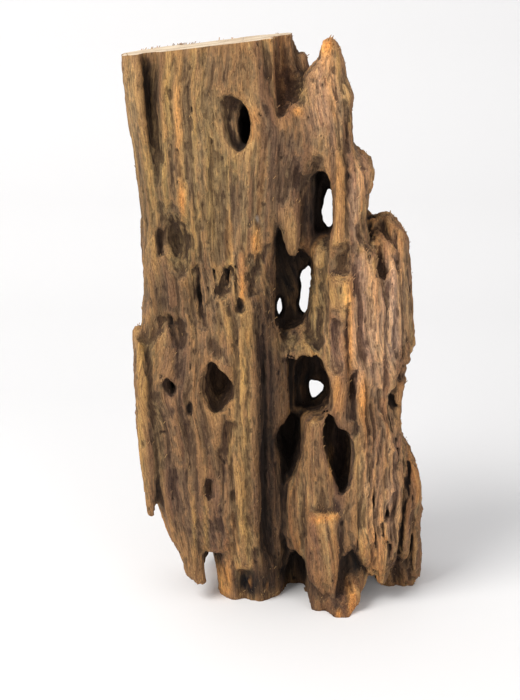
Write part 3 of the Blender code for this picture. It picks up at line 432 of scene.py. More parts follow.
# Marks pressed into the front or raised from it, each a list of (x, z, half width, depth).
# A slit is sharp at the bottom, a dish is round, and a rib stands proud.
slits = [
    [(-20.6, 205.6, 0.4, 0.5), (-21.9, 199.0, 0.5, 0.8), (-20.9, 192.0, 0.5, 0.7), (-17.6, 186.4, 0.4, 0.4)],
    [(-18.6, 205.0, 0.4, 0.6), (-19.7, 198.0, 0.5, 0.9), (-18.8, 191.6, 0.5, 0.8), (-16.4, 187.4, 0.4, 0.4)],
    [(31.0, 140, 0.4, 0.6), (31.4, 122, 0.5, 0.7), (32.4, 104, 0.5, 0.7), (33.0, 96, 0.4, 0.4)],
    [(35.6, 136, 0.4, 0.6), (35.6, 120, 0.5, 0.7), (34.8, 106, 0.5, 0.6)],
    [(28.4, 182, 0.5, 0.8), (30.2, 172, 0.6, 1.0), (30.6, 158, 0.5, 0.8)],
    [(27.8, 176, 0.4, 0.7), (28.6, 164, 0.5, 0.9), (28.0, 150, 0.5, 0.8)],
    [(-52.0, 223, 1.5, 2.2), (-50.9, 206, 1.4, 2.2), (-49.6, 190, 1.2, 2.0), (-45.4, 184.5, 0.8, 1.0)],
    [(-47.6, 224, 0.8, 1.2), (-46.6, 208, 0.8, 1.0), (-45.6, 192, 0.7, 0.7)],
    [(-33.2, 225, 0.6, 0.9), (-32.5, 217, 0.7, 1.0), (-30.4, 203, 0.6, 0.7)],
    [(-32.2, 198.5, 0.6, 1.1), (-31.0, 193.5, 0.5, 0.9)],
    [(-42.0, 209.2, 0.7, 1.6), (-41.8, 206.6, 0.6, 1.4)],
    [(-36.6, 210.4, 0.6, 1.2), (-36.4, 208.6, 0.6, 1.2)],
    [(-17.0, 211.0, 0.6, 1.3), (-17.0, 209.0, 0.6, 1.3)],
    [(-28.4, 225.2, 0.7, 1.6), (-28.2, 222.8, 0.6, 1.2)],
    [(-18.4, 225.4, 0.6, 1.4), (-18.2, 223.8, 0.6, 1.2)],
    [(-8.8, 222.6, 0.5, 1.6), (-8.2, 217.6, 0.5, 1.4)],
    [(-5.2, 216.4, 0.6, 1.2), (-4.9, 213.8, 0.5, 1.2)],
    [(-50.2, 219.4, 0.6, 1.0), (-49.8, 216.6, 0.6, 1.0)],
    [(-45.2, 194.2, 0.6, 1.2), (-44.8, 191.8, 0.5, 1.2)],
    [(9.7, 216.4, 0.8, 1.8), (9.7, 214.6, 0.8, 1.8)],
    [(20.0, 226.4, 0.6, 1.4), (20.5, 222.2, 0.6, 1.2)],
    [(-47.4, 156.6, 0.5, 1.2), (-47.8, 151.0, 0.7, 1.8), (-46.8, 145.2, 0.5, 1.0)],
    [(-39.9, 149.6, 0.9, 1.8), (-39.7, 146.6, 0.9, 1.8)],
    [(-32.0, 146.0, 0.5, 0.9), (-31.4, 140.0, 0.7, 1.6), (-31.9, 133.0, 0.8, 1.9), (-31.2, 127.6, 0.5, 0.9)],
    [(-20.4, 139.0, 0.9, 2.0), (-20.0, 136.0, 1.0, 2.4), (-21.0, 133.8, 0.6, 1.2)],
    [(-17.4, 147.0, 0.6, 1.6), (-17.1, 138.0, 0.8, 2.2), (-17.0, 129.6, 0.6, 1.4)],
    [(-15.7, 128.6, 1.4, 2.2), (-15.4, 125.8, 2.2, 3.8), (-15.3, 123.2, 1.2, 1.8)],
    [(-26.0, 141.5, 0.6, 1.4), (-25.0, 134.0, 0.8, 1.8), (-26.6, 127.5, 0.6, 1.0)],
    [(-28.6, 138.0, 0.6, 1.2), (-28.0, 131.0, 0.8, 1.6), (-29.2, 124.0, 0.6, 1.0)],
    [(-43.6, 123.0, 0.9, 2.0), (-42.6, 117.0, 1.3, 2.8), (-40.6, 111.0, 0.9, 1.6)],
    [(-38.4, 121.0, 0.7, 1.2), (-37.0, 115.0, 0.9, 1.6)],
    [(-36.2, 86.6, 1.1, 4.2), (-36.2, 83.0, 1.1, 4.2)],
    [(-42.6, 85.6, 0.8, 1.0), (-42.4, 83.4, 0.8, 1.0)],
    [(-18.9, 49.8, 0.9, 2.2), (-18.9, 46.8, 0.9, 2.2)],
    [(-54.7, 71.6, 0.8, 1.6), (-54.7, 69.4, 0.8, 1.6)],
    [(-56.8, 99.0, 0.8, 1.2), (-56.8, 97.0, 0.8, 1.2)],
    [(-34.6, 78, 0.6, 0.6), (-33.8, 60, 0.7, 0.8), (-33.0, 40, 0.6, 0.8), (-33.0, 22, 0.6, 0.8)],
    [(-46.0, 82, 0.6, 0.6), (-45.0, 66, 0.7, 0.8), (-43.4, 46, 0.6, 0.8)],
    [(-22.4, 82, 0.6, 0.7), (-22.0, 66, 0.8, 0.9), (-23.0, 48, 0.7, 0.8), (-24.0, 26, 0.7, 0.8)],
    [(-17.8, 112, 0.6, 0.6), (-17.4, 84, 0.6, 0.7), (-17.8, 52, 0.6, 0.7), (-18.8, 22, 0.6, 0.7)],
    [(-12.4, 110, 0.5, 0.5), (-12.0, 80, 0.6, 0.6), (-12.6, 44, 0.6, 0.6)],
    [(-6.4, 118, 1.1, 1.4), (-6.8, 92, 1.3, 1.8), (-6.4, 60, 1.2, 1.6), (-6.6, 24, 1.1, 1.4)],
    [(-3.0, 112, 0.6, 0.8), (-3.4, 84, 0.7, 0.9), (-3.2, 44, 0.6, 0.8)],
    [(25.2, 201, 0.6, 0.9), (25.4, 193, 0.8, 1.3), (26.4, 187, 0.6, 0.7)],
    [(29.6, 158.0, 0.9, 2.2), (30.2, 154.0, 1.2, 3.0), (32.6, 150.0, 0.8, 1.4)],
    [(25.0, 184, 0.6, 0.9), (25.4, 170, 0.7, 1.1), (25.2, 154, 0.6, 0.9)],
    [(16.0, 134.4, 0.8, 1.6), (16.0, 131.8, 0.8, 1.6)],
    [(16.5, 113.6, 0.9, 1.6), (16.5, 111.4, 0.9, 1.6)],
    [(24.8, 126.0, 0.7, 1.2), (25.6, 118.0, 0.5, 0.9), (26.0, 104.0, 0.5, 0.9), (26.6, 96.0, 0.5, 0.8)],
    [(46.5, 123.6, 0.7, 1.2), (46.5, 121.6, 0.7, 1.2)],
    [(45.6, 156, 0.6, 0.7), (46.0, 140, 0.6, 0.9), (45.6, 124, 0.6, 0.9), (45.0, 108, 0.6, 0.8)],
    [(48.8, 152, 0.5, 0.6), (49.4, 134, 0.6, 0.8), (49.0, 116, 0.6, 0.8), (49.8, 104, 0.5, 0.6)],
    [(43.0, 89.0, 1.2, 2.4), (44.8, 86.0, 1.6, 3.2), (47.4, 83.6, 1.2, 2.2)],
    [(39.6, 92.0, 0.9, 1.8), (40.4, 85.0, 1.2, 2.4), (42.4, 79.0, 0.9, 1.6)],
    [(47.2, 66.6, 1.1, 2.4), (47.4, 60.0, 1.2, 2.8), (48.4, 55.0, 0.8, 1.4)],
    [(52.8, 59.0, 1.0, 2.2), (52.6, 51.0, 1.5, 3.4), (53.2, 44.6, 0.9, 1.8)],
    [(37.6, 47.4, 0.9, 1.8), (37.4, 44.8, 0.9, 1.8)],
    [(40.3, 34.4, 0.9, 1.8), (40.3, 31.6, 0.9, 1.8)],
    [(36.4, 66, 0.8, 1.2), (37.4, 54, 1.0, 1.8), (38.0, 42, 0.9, 1.8), (39.2, 28, 0.8, 1.4)],
    [(41.6, 36, 1.0, 2.2), (42.4, 30, 1.4, 3.0), (44.8, 24, 1.0, 2.2), (45.4, 16, 0.8, 1.4)],
    [(47.2, 48, 0.9, 1.8), (46.8, 36, 1.1, 2.2), (48.0, 26, 1.0, 2.0), (47.2, 18, 0.8, 1.4)],
    [(50.6, 60, 0.8, 1.6), (50.8, 46, 0.9, 1.8), (50.4, 32, 0.9, 1.8), (51.0, 22, 0.7, 1.4)],
    [(54.6, 42, 0.9, 1.8), (54.4, 30, 1.0, 2.0), (55.2, 18, 0.8, 1.4)],
    [(31.4, 46, 0.6, 0.8), (31.6, 32, 0.7, 0.9), (31.4, 24, 0.6, 0.8)],
    [(24.8, 38, 0.8, 1.6), (25.2, 26, 0.8, 1.6), (25.6, 14, 0.7, 1.2)],
    [(39.0, 130, 0.5, 0.7), (39.6, 116, 0.5, 0.9), (38.4, 102, 0.5, 0.9)],
    [(34.4, 134, 0.6, 0.9), (34.2, 118, 0.7, 1.2), (33.4, 104, 0.6, 1.0)],
    [(37.0, 128, 0.5, 0.8), (36.8, 112, 0.6, 1.0), (36.2, 98, 0.6, 0.8)],
    [(34.0, 150.4, 1.0, 3.4), (34.4, 145, 0.8, 2.6), (34.8, 141, 0.5, 1.0)],
]
dishes = [
    [(13.6, 183, 3.4, 1.0), (13.0, 176, 4.6, 2.6), (11.6, 168, 3.6, 2.0), (11.6, 156, 3.0, 1.2)],
    [(-5.6, 228, 3.6, 1.8), (-4.2, 214, 3.6, 2.2), (-1.6, 204, 2.6, 1.4)],
    [(-46.0, 166, 3.0, 0.8), (-43.0, 157, 6.0, 2.2), (-41.0, 150, 6.5, 3.0), (-40.0, 142, 4.5, 1.4)],
    [(-28.0, 112.0, 4.2, 0.9), (-24.5, 108.0, 5.0, 1.2), (-21.6, 104.6, 3.6, 0.8)],
    [(-47.0, 121, 2.4, 1.2), (-40.0, 119, 3.6, 1.8), (-37.5, 112, 2.6, 1.0)],
    [(-14.6, 12.0, 4.4, 2.4), (-14.4, 4.0, 5.0, 3.0), (-14.4, -6.0, 5.0, 3.0)],
    [(24.0, 149.6, 4.0, 0.5), (23.4, 144.4, 5.0, 1.2), (23.0, 140.6, 4.6, 1.0)],
    [(15.2, 124.0, 2.6, 1.2), (15.0, 117.0, 3.0, 1.6), (15.4, 110.0, 2.4, 1.0)],
    [(49.6, 16.0, 5.6, 2.6), (49.6, 8.0, 6.4, 3.2), (49.6, -2.0, 6.4, 3.0)],
    [(7.6, 204.0, 1.8, 0.8), (8.4, 212.0, 2.4, 0.8)],
    [(-5.6, 150.0, 2.6, 1.0), (-10.4, 140.0, 3.2, 1.6), (-11.4, 132.0, 2.4, 1.0)],
]
ribs = [
    [(-36.4, 175, 1.2, 0.8), (-33.8, 160, 1.6, 1.3), (-33.2, 150, 1.6, 1.4), (-34.2, 143, 1.5, 1.2),
     (-38.0, 135, 1.2, 0.8)],
    [(-33.6, 224, 0.7, 0.35), (-31.6, 210, 0.8, 0.4), (-30.6, 203, 0.6, 0.3)],
    [(-38.8, 176, 1.2, 0.5), (-37.6, 168, 1.6, 1.0), (-37.4, 160, 1.2, 0.7)],
    [(-15.4, 147, 1.3, 0.6), (-15.2, 138, 1.5, 0.8), (-15.6, 130, 1.2, 0.6)],
    [(-20.0, 77, 0.8, 0.5), (-20.2, 62, 0.8, 0.5)],
    [(-34.8, 47, 0.8, 0.5), (-35.2, 30, 0.9, 0.6), (-35.6, 14, 0.8, 0.5)],
    [(-15.6, 118, 1.6, 0.5), (-14.8, 90, 1.8, 0.6), (-14.6, 60, 1.8, 0.6), (-15.6, 26, 1.6, 0.5)],
    [(-9.8, 112, 1.0, 0.4), (-9.4, 80, 1.2, 0.5), (-9.8, 44, 1.2, 0.5)],
    [(22.4, 186, 1.9, 0.8), (22.8, 170, 2.0, 1.0), (22.6, 154, 1.8, 0.8)],
    [(20.4, 224, 0.6, 0.4), (21.6, 214, 0.8, 0.6), (23.6, 207, 0.9, 0.7), (24.4, 201, 0.8, 0.5)],
    [(22.6, 222, 0.5, 0.4), (23.4, 213, 0.7, 0.5), (26.0, 206, 0.8, 0.6), (25.2, 198, 0.6, 0.4)],
    [(17.8, 222, 0.6, 0.5), (18.8, 212, 0.7, 0.5), (20.6, 203, 0.7, 0.5)],
    [(14.4, 219, 0.6, 0.4), (15.0, 208, 0.7, 0.5), (14.4, 196, 0.7, 0.4)],
    [(25.0, 190, 0.8, 0.6), (28.0, 184.6, 1.0, 0.8), (32.0, 181.0, 1.0, 0.8), (35.0, 179.6, 0.8, 0.6)],
    [(28.0, 178, 0.8, 0.6), (31.0, 171.0, 0.9, 0.7), (32.0, 160.0, 0.9, 0.6)],
    [(30.2, 152.0, 0.8, 0.8), (36.0, 150.4, 0.9, 1.0), (42.0, 149.4, 0.8, 0.8)],
    [(27.3, 131, 0.8, 0.7), (27.4, 118, 0.9, 0.9), (28.0, 106, 0.9, 0.8), (28.8, 97, 0.7, 0.5)],
    [(33.6, 92, 1.2, 0.6), (34.0, 80, 1.3, 0.8), (34.8, 68, 1.2, 0.6)],
    [(43.8, 150, 0.9, 0.7), (44.2, 136, 1.0, 0.8), (43.6, 120, 0.9, 0.8), (42.8, 106, 0.8, 0.6)],
    [(47.6, 156, 0.9, 0.6), (48.0, 140, 1.0, 0.8), (47.4, 120, 1.0, 0.8), (48.0, 104, 0.8, 0.6)],
    [(40.6, 82, 0.8, 0.8), (43.4, 74, 1.0, 1.1), (46.6, 66, 1.1, 1.3), (49.0, 58, 1.1, 1.3),
     (50.2, 50, 0.9, 0.9)],
    [(43.6, 50, 0.9, 1.0), (44.6, 40, 1.0, 1.3), (43.0, 32, 0.9, 1.0), (46.8, 24, 0.9, 1.1),
     (46.0, 14, 0.8, 0.8)],
    [(48.6, 44, 0.8, 0.8), (49.2, 34, 0.9, 1.0), (48.8, 24, 0.8, 0.8)],
    [(52.4, 42, 0.8, 0.9), (52.6, 30, 0.9, 1.0), (52.2, 20, 0.8, 0.7)],
    [(56.6, 28, 1.1, 1.0), (57.4, 16, 1.2, 1.1), (57.6, 8, 1.0, 0.8)],
    [(34.6, 56, 1.1, 0.7), (35.0, 42, 1.2, 0.8), (35.4, 28, 1.1, 0.7)],
    [(45.8, 94, 1.0, 1.0), (45.2, 90, 1.6, 1.6), (46.6, 86.8, 1.0, 1.0)],
    [(4.6, 57, 0.9, 0.6), (4.4, 42, 1.0, 0.8), (4.0, 28, 0.9, 0.6)],
]

# Layers of wood that have come away: a rim of (x, z) points, how deep the layer is,
# how far its edge frays, and how wide the step is
peels = [
    ([(-30.0, 142), (-27.4, 143), (-25.0, 140), (-22.2, 142), (-19.4, 141), (-20.2, 134), (-23.6, 127.4),
      (-26.4, 124.5), (-29.6, 126.6), (-31.2, 132)], 0.8, 1.2, 0.9),
    ([(17.2, 137.4), (20.4, 138.4), (24.0, 137.6), (27.4, 137.0), (28.4, 143), (28.6, 150), (24.6, 151.6),
      (20.4, 150.2), (18.4, 144.0)], 1.2, 0.6, 0.5),
    ([(17.6, 125.6), (21.0, 126.2), (26.2, 125.2), (25.6, 108.0), (24.6, 98.6), (20.8, 99.4), (18.2, 104.0),
      (17.8, 116.0)], 1.3, 0.35, 0.5),
    ([(-13.2, 147.0), (-8.2, 147.6), (-7.2, 139.0), (-8.2, 130.4), (-12.8, 129.4)], 1.2, 0.5, 0.6),
    ([(-46.6, 110.5), (-40.6, 109.6), (-36.6, 111.0), (-36.4, 119.0), (-38.6, 125.0), (-43.6, 126.0),
      (-45.4, 119.0)], 0.8, 0.9, 1.0),
    ([(-62.0, 205.0), (-54.6, 205.6), (-54.0, 196.0), (-55.2, 184.0), (-58.6, 180.0)], 0.45, 0.9, 0.5),
    ([(-50.0, 92.0), (-47.0, 92.0), (-46.0, 70.0), (-47.6, 50.0), (-50.6, 60.0)], 0.5, 0.8, 0.5),
    ([(-42.0, 78.0), (-36.6, 79.0), (-35.8, 62.0), (-38.4, 50.0), (-41.6, 56.0)], 0.45, 0.9, 0.5),
    ([(36.0, 104.0), (40.6, 103.0), (41.0, 92.0), (38.6, 84.0), (36.2, 90.0)], 0.7, 0.8, 0.5),
]


def tube(name, rings):
    # closed tube through rings of points
    shape = bmesh.new()
    loops = []
    for ring in rings:
        corners = [shape.verts.new([value * mm for value in point]) for point in ring]
        loops.append([shape.edges.new(pair) for pair in zip(corners, corners[1:] + corners[:1])])
    shape.faces.new([edge.verts[0] for edge in loops[0]])
    shape.faces.new([edge.verts[0] for edge in loops[-1]])
    for lower, upper in zip(loops, loops[1:]):
        bmesh.ops.bridge_loops(shape, edges=lower + upper)
    bmesh.ops.triangulate(shape, faces=shape.faces[:])
    bmesh.ops.recalc_face_normals(shape, faces=shape.faces[:])
    mesh = bpy.data.meshes.new(name)
    shape.to_mesh(mesh)
    shape.free()
    return bpy.data.objects.new(name, mesh)


def roundedPoint(angle, squareness):
    c, s = math.cos(angle), math.sin(angle)
    power = 2.0 / squareness
    return math.copysign(abs(c) ** power, c), math.copysign(abs(s) ** power, s)


def strandPiece(name, sections, squareness):
    # strand with level sections, each (z, left, right, front, back)
    count = bodySettings["ringPoints"]
    rings = []
    for z, left, right, front, back in sections:
        ring = []
        for step in range(count):
            across, along = roundedPoint(2 * math.pi * step / count, squareness)
            ring.append(((left + right + across * (right - left)) / 2,
                         (front + back + along * (back - front)) / 2, z))
        rings.append(ring)
    return tube(name, rings)


def burrowPiece(name, sections):
    # hollow with sections that face the front, each (y, x, z, half width, half height)
    count, wave = bodySettings["burrowPoints"], bodySettings["burrowWave"]
    rings = []
    for y, x, z, halfWidth, halfHeight in sections:
        ring = []
        for step in range(count):
            angle = 2 * math.pi * step / count
            swell = 1 + wave * (math.sin(2 * angle + x) + math.sin(3 * angle + z))
            ring.append((x + halfWidth * swell * math.cos(angle), y,
                         z + halfHeight * swell * math.sin(angle)))
        rings.append(ring)
    return tube(name, rings)


def rimPiece(name, rim, run):
    # hollow cut along a worn rim of (x, z) points, carried back by (y, shift x, shift z, scale)
    middle = np.mean(rim, axis=0)
    rings = []
    for y, shiftX, shiftZ, scale in run:
        rings.append([(middle[0] + (x - middle[0]) * scale + shiftX, y,
                       middle[1] + (z - middle[1]) * scale + shiftZ) for x, z in rim])
    return tube(name, rings)


def eyePiece(name, rim):
    # mouth of light cut along the lines of sight
    x0, y0, z0 = eyePoint
    x, z = np.mean(rim, axis=0)
    run = []
    for y, flare in zip(eyeRun, eyeFlare):
        spread = (y - y0) / (eyeFace - y0)
        run.append((y, (x - x0) * (spread - 1), (z - z0) * (spread - 1), spread * flare))
    return rimPiece(name, rim, run)


def gather(name, pieces):
    group = bpy.data.collections.new(name)
    bpy.context.scene.collection.children.link(group)
    for piece in pieces:
        group.objects.link(piece)
    return group


def settle(thing):
    # the modified shape becomes the thing's own mesh
    depsgraph = bpy.context.evaluated_depsgraph_get()
    mesh = bpy.data.meshes.new_from_object(thing.evaluated_get(depsgraph))
    thing.modifiers.clear()
    thing.data = mesh


def combine(thing, group, operation):
    step = thing.modifiers.new(operation.lower(), "BOOLEAN")
    step.operation = operation
    step.operand_type = "COLLECTION"
    step.collection = group
    step.solver = "EXACT"
    settle(thing)
    for piece in list(group.objects):
        bpy.data.objects.remove(piece, do_unlink=True)
    bpy.data.collections.remove(group)


def reskin(thing, voxel, smoothing):
    remesh = thing.modifiers.new("skin", "REMESH")
    remesh.mode = "VOXEL"
    remesh.voxel_size = voxel * mm
    if smoothing:
        smooth = thing.modifiers.new("worn", "SMOOTH")
        smooth.factor = 0.5
        smooth.iterations = smoothing
    settle(thing)


def meshPoints(mesh):
    points = np.empty(len(mesh.vertices) * 3, dtype=np.float32)
    mesh.vertices.foreach_get("co", points)
    return points.reshape(-1, 3).astype(float) / mm


def meshNormals(mesh):
    normals = np.empty(len(mesh.vertices) * 3, dtype=np.float32)
    mesh.vertices.foreach_get("normal", normals)
    return normals.reshape(-1, 3).astype(float)


def placePoints(mesh, points):
    mesh.vertices.foreach_set("co", (points * mm).astype(np.float32).ravel())
    mesh.update()


def field(points, stretch, seed):
    # smooth random field, stretched along each axis
    return np.array([noise.noise(place) for place in (points / stretch + seed).tolist()])


def grainField(points, kind):
    # smooth random field drawn out along the grain, with its kind as (width, length, seed)
    width, length, seed = kind
    return field(points, (width, width, length), seed)


def smoothStep(low, high, value):
    t = np.clip((value - low) / (high - low), 0, 1)
    return t * t * (3 - 2 * t)


def strokeShare(points, stroke):
    # share of a stroke's width left at each point, as seen from the front, and its depth there
    share, depth = np.zeros(len(points)), np.zeros(len(points))
    flat = points[:, (0, 2)]
    for start, end in zip(stroke, stroke[1:]):
        run = np.array(end[:2], float) - np.array(start[:2], float)
        reach = flat - np.array(start[:2])
        along = np.clip(reach @ run / (run @ run), 0, 1)
        gap = np.linalg.norm(reach - along[:, None] * run, axis=1)
        here = np.clip(1 - gap / (start[2] + (end[2] - start[2]) * along), 0, 1)
        better = here > share
        share[better] = here[better]
        depth[better] = (start[3] + (end[3] - start[3]) * along)[better]
    return share, depth


def inside(points, rim):
    # distance into a rim of (x, z) points as seen from the front, negative outside
    flat = points[:, (0, 2)]
    nearest = np.full(len(points), 1e9)
    odd = np.zeros(len(points), bool)
    for start, end in zip(rim, rim[1:] + rim[:1]):
        a, b = np.array(start, float), np.array(end, float)
        run = b - a
        reach = flat - a
        along = np.clip(reach @ run / (run @ run), 0, 1)
        nearest = np.minimum(nearest, np.linalg.norm(reach - along[:, None] * run, axis=1))
        crosses = (flat[:, 1] < a[1]) != (flat[:, 1] < b[1])
        at = a[0] + (flat[:, 1] - a[1]) / (run[1] if run[1] else 1e-9) * run[0]
        odd ^= crosses & (flat[:, 0] < at)
    return np.where(odd, nearest, -nearest)


grainSettings = {
    # random fields that make the fine relief, each (width, length, seed)
    "ropes": (4.6, 60.0, 21.7), "ropeBreaks": (8.0, 28.0, 66.3),
    "cords": (2.4, 44.0, 27.3), "fibres": (1.3, 26.0, 4.4),
    "layers": (5.0, 34.0, 15.2), "layerEdges": (1.2, 6.0, 2.8),
    "frays": (1.0, 3.2, 90.4), "pits": (1.4, 4.0, 31.9),
    "rags": (2.2, 5.0, 5.1), "fineRags": (0.9, 2.2, 8.4), "ragReach": 1.6,
    # how high each kind stands, in millimetres
    "ropeHeight": 0.55, "cordHeight": 0.42, "fibreHeight": 0.26, "layerHeight": 0.42,
    "frayHeight": 0.34, "pitDepth": 0.6,
    # share of the relief on the smoothest slabs, and what bold and lumpy places add to it
    "least": 0.42, "bold": 0.7, "lumpy": 0.45,
    "plateCalm": 0.6,                           # share of the boldness that the right plate goes without
    # how far the grain winds low on the right
    "wind": 3.0, "windLengths": (13.0, 30.0, 17.0), "windSeed": 77.1,
}


def growBody():
    # slabs and strands grown into one, with the hollows worn out of it
    wood = [strandPiece(name, rows, bodySettings["slabSquareness"]) for name, rows in slabs.items()]
    wood += [strandPiece(name, rows, squarer.get(name, bodySettings["strandSquareness"]))
             for name, rows in strands.items()]
    body = wood.pop(0)
    body.name = "dragonWood"
    bpy.context.scene.collection.objects.link(body)
    combine(body, gather("wood", wood), "UNION")
    hollows = [burrowPiece(name, rows) for name, rows in burrows.items()]
    hollows += [strandPiece(name, rows, bodySettings["strandSquareness"]) for name, rows in gullies.items()]
    hollows += [rimPiece(name, rim, run) for name, (rim, run) in rims.items()]
    hollows += [eyePiece(name, rim) for name, rim in eyes.items()]
    combine(body, gather("hollows", hollows), "DIFFERENCE")
    left = [strandPiece(name, rows, bodySettings["webSquareness"]) for name, rows in webs.items()]
    combine(body, gather("webs", left), "UNION")
    return body


def facingFront(normals):
    # 1 where the wood faces the front, falling to 0 where it turns away
    return np.clip(-1.5 * normals[:, 1], 0, 1)


def press(points, facing, stroke, profile):
    # one mark, worked only on the points near it
    xs, zs, widths = [[part[n] for part in stroke] for n in range(3)]
    reach = max(widths)
    near = ((points[:, 0] > min(xs) - reach) & (points[:, 0] < max(xs) + reach)
            & (points[:, 2] > min(zs) - reach) & (points[:, 2] < max(zs) + reach) & (facing > 0))
    share, depth = strokeShare(points[near], stroke)
    points[near, 1] += facing[near] * depth * profile(share)


def carveFront(points, normals):
    # furrows and dishes
    facing = facingFront(normals)
    for stroke in furrows:
        press(points, facing, stroke, lambda share: 1 - (1 - share) ** 2)
    for stroke in dishes:
        press(points, facing, stroke, lambda share: share * share * (3 - 2 * share))


def markFront(points, normals):
    # layers that have come away, then slits and ribs
    facing = facingFront(normals)
    ragged = grainField(points, grainSettings["rags"]) + 0.6 * grainField(points, grainSettings["fineRags"])
    for rim, depth, fray, step in peels:
        reach = inside(points, rim) + fray * grainSettings["ragReach"] * ragged
        share = smoothStep(-step / 2, step / 2, reach)
        points[:, 1] += facing * depth * share
    for stroke in slits:
        press(points, facing, stroke, lambda share: share ** 0.8)
    for stroke in ribs:
        press(points, facing, stroke, lambda share: -share * share * (3 - 2 * share))


def grainPlace(points):
    # the points as the grain sees them, leaning and parting round the hollows
    flow = points.copy()
    flow[:, 0] -= bodySettings["grainLean"] * points[:, 2]
    for x, z, halfWidth, halfHeight, push in grainKnots:
        across = np.tanh((points[:, 0] - x) / halfWidth)
        flow[:, 0] -= push * across * np.exp(-((points[:, 2] - z) / halfHeight) ** 2)
    lowRight = smoothStep(24, 38, points[:, 0]) * smoothStep(96, 70, points[:, 2])
    winding = field(points, grainSettings["windLengths"], grainSettings["windSeed"])
    flow[:, 0] += lowRight * grainSettings["wind"] * winding
    return flow


def weather(points, normals):
    # wander of the body and broad flutes, as on the solid
    points += normals * (bodySettings["wander"] * field(points, bodySettings["wanderLength"],
                                                        bodySettings["wanderSeed"]))[:, None]
    grain = points.copy()
    grain[:, 0] -= bodySettings["grainLean"] * points[:, 2]
    width, length = bodySettings["fluteWidth"], bodySettings["fluteLength"]
    flutes = 1 - 3 * abs(field(grain, (width, width, length), bodySettings["fluteSeed"]))
    turned = np.clip((points[:, 0] - bodySettings["boldFlutesFrom"]) / bodySettings["boldFlutesOver"], 0, 1)
    behind = np.clip(2 * normals[:, 1], 0, 1)
    share = np.maximum(turned, behind)
    depth = bodySettings["fluteDepth"] + (bodySettings["boldFluteDepth"] - bodySettings["fluteDepth"]) * share
    points += normals * (depth * flutes)[:, None]


def roughness(points, normals):
    # how strongly the fine grain stands up: smooth on the left slabs, bold at the right and behind
    x, z = points[:, 0], points[:, 2]
    bold = np.maximum(smoothStep(26, 36, x), smoothStep(0.1, 0.6, normals[:, 1]))
    lumpy = np.exp(-((x + 26) / 20) ** 2) * np.exp(-((z - 138) / 22) ** 2)
    plate = smoothStep(26, 30, x) * smoothStep(96, 108, z) * smoothStep(150, 142, z)
    plate = plate * smoothStep(0.3, -0.3, normals[:, 1])
    return (grainSettings["least"] + grainSettings["bold"] * bold * (1 - grainSettings["plateCalm"] * plate)
            + grainSettings["lumpy"] * lumpy)


def fineGrain(points, normals):
    # ropes, cords, fibres and frayed layers that stand up along the grain, and small pits
    grain = grainPlace(points)
    bold = roughness(points, normals)
    found = {name: grainField(grain, grainSettings[name])
             for name in ("ropes", "ropeBreaks", "cords", "fibres", "layers", "layerEdges", "frays", "pits")}
    ropes = (1 - 3.4 * abs(found["ropes"])) * smoothStep(-0.30, 0.22, found["ropeBreaks"])
    cords = 1 - 3.4 * abs(found["cords"])
    fibres = 1 - 3.2 * abs(found["fibres"])
    layers = smoothStep(0.0, 0.07, found["layers"] + 0.22 * found["layerEdges"])
    pits = smoothStep(0.58, 0.70, found["pits"])
    lift = grainSettings["ropeHeight"] * smoothStep(0.55, 1.0, bold) * ropes
    lift += bold * (grainSettings["cordHeight"] * cords + grainSettings["fibreHeight"] * fibres)
    lift += grainSettings["frayHeight"] * found["frays"]
    lift += grainSettings["layerHeight"] * (layers - 0.5) * (0.5 + 0.5 * bold)
    lift -= grainSettings["pitDepth"] * pits
    points += normals * lift[:, None]


def sliceOff(shape, point, outward):
    # take away what lies beyond a plane and close the cut with a flat face
    everything = shape.verts[:] + shape.edges[:] + shape.faces[:]
    cut = bmesh.ops.bisect_plane(shape, geom=everything, dist=1e-7, plane_co=point, plane_no=outward,
                                 clear_outer=True)
    edges = [item for item in cut["geom_cut"] if isinstance(item, bmesh.types.BMEdge)]
    return bmesh.ops.triangle_fill(shape, use_beauty=True, edges=edges, normal=outward)


def cutFlat(body):
    shape = bmesh.new()
    shape.from_mesh(body.data)
    corner = [value * mm for value in bodySettings["sawCorner"]]
    up = Vector((-bodySettings["sawRiseRight"], -bodySettings["sawRiseBack"], 1)).normalized()
    sawn = sliceOff(shape, corner, up)
    for item in sawn["geom"]:
        if isinstance(item, bmesh.types.BMFace):
            item.material_index = 1
    sliceOff(shape, (0, 0, 0), Vector((0, 0, -1)))
    bmesh.ops.triangulate(shape, faces=shape.faces[:])
    bmesh.ops.recalc_face_normals(shape, faces=shape.faces[:])
    shape.to_mesh(body.data)
    shape.free()


def thinOut(body, triangles):
    thin = body.modifiers.new("thin", "DECIMATE")
    thin.ratio = triangles / sum(len(face.vertices) - 2 for face in body.data.polygons)
    settle(body)


def fitBox(points):
    # the finer wood stays within the solid's box
    low, high = np.array(solidBox[0]) / mm, np.array(solidBox[1]) / mm
    return np.clip(points, low + bodySettings["boxGap"], high - bodySettings["boxGap"])


# Hollows that the grain parts round: (x, z, half width, half height, push)
grainKnots = [
    (-16, 197, 7, 22, 2.6), (14, 163, 7, 24, 2.4), (-24.5, 94.5, 7, 20, 2.2), (10, 92, 9, 22, 2.0),
    (-42.5, 95, 4, 9, 1.2), (24, 208, 4, 10, 1.6), (22.5, 145, 5, 12, 1.8), (45.6, 90, 4, 9, 1.6),
    (24, 66, 6, 24, 1.8), (-15.5, 125.5, 4, 8, 1.2), (-28, 52, 3, 9, 0.9), (44, 40, 4, 14, 1.4),
]

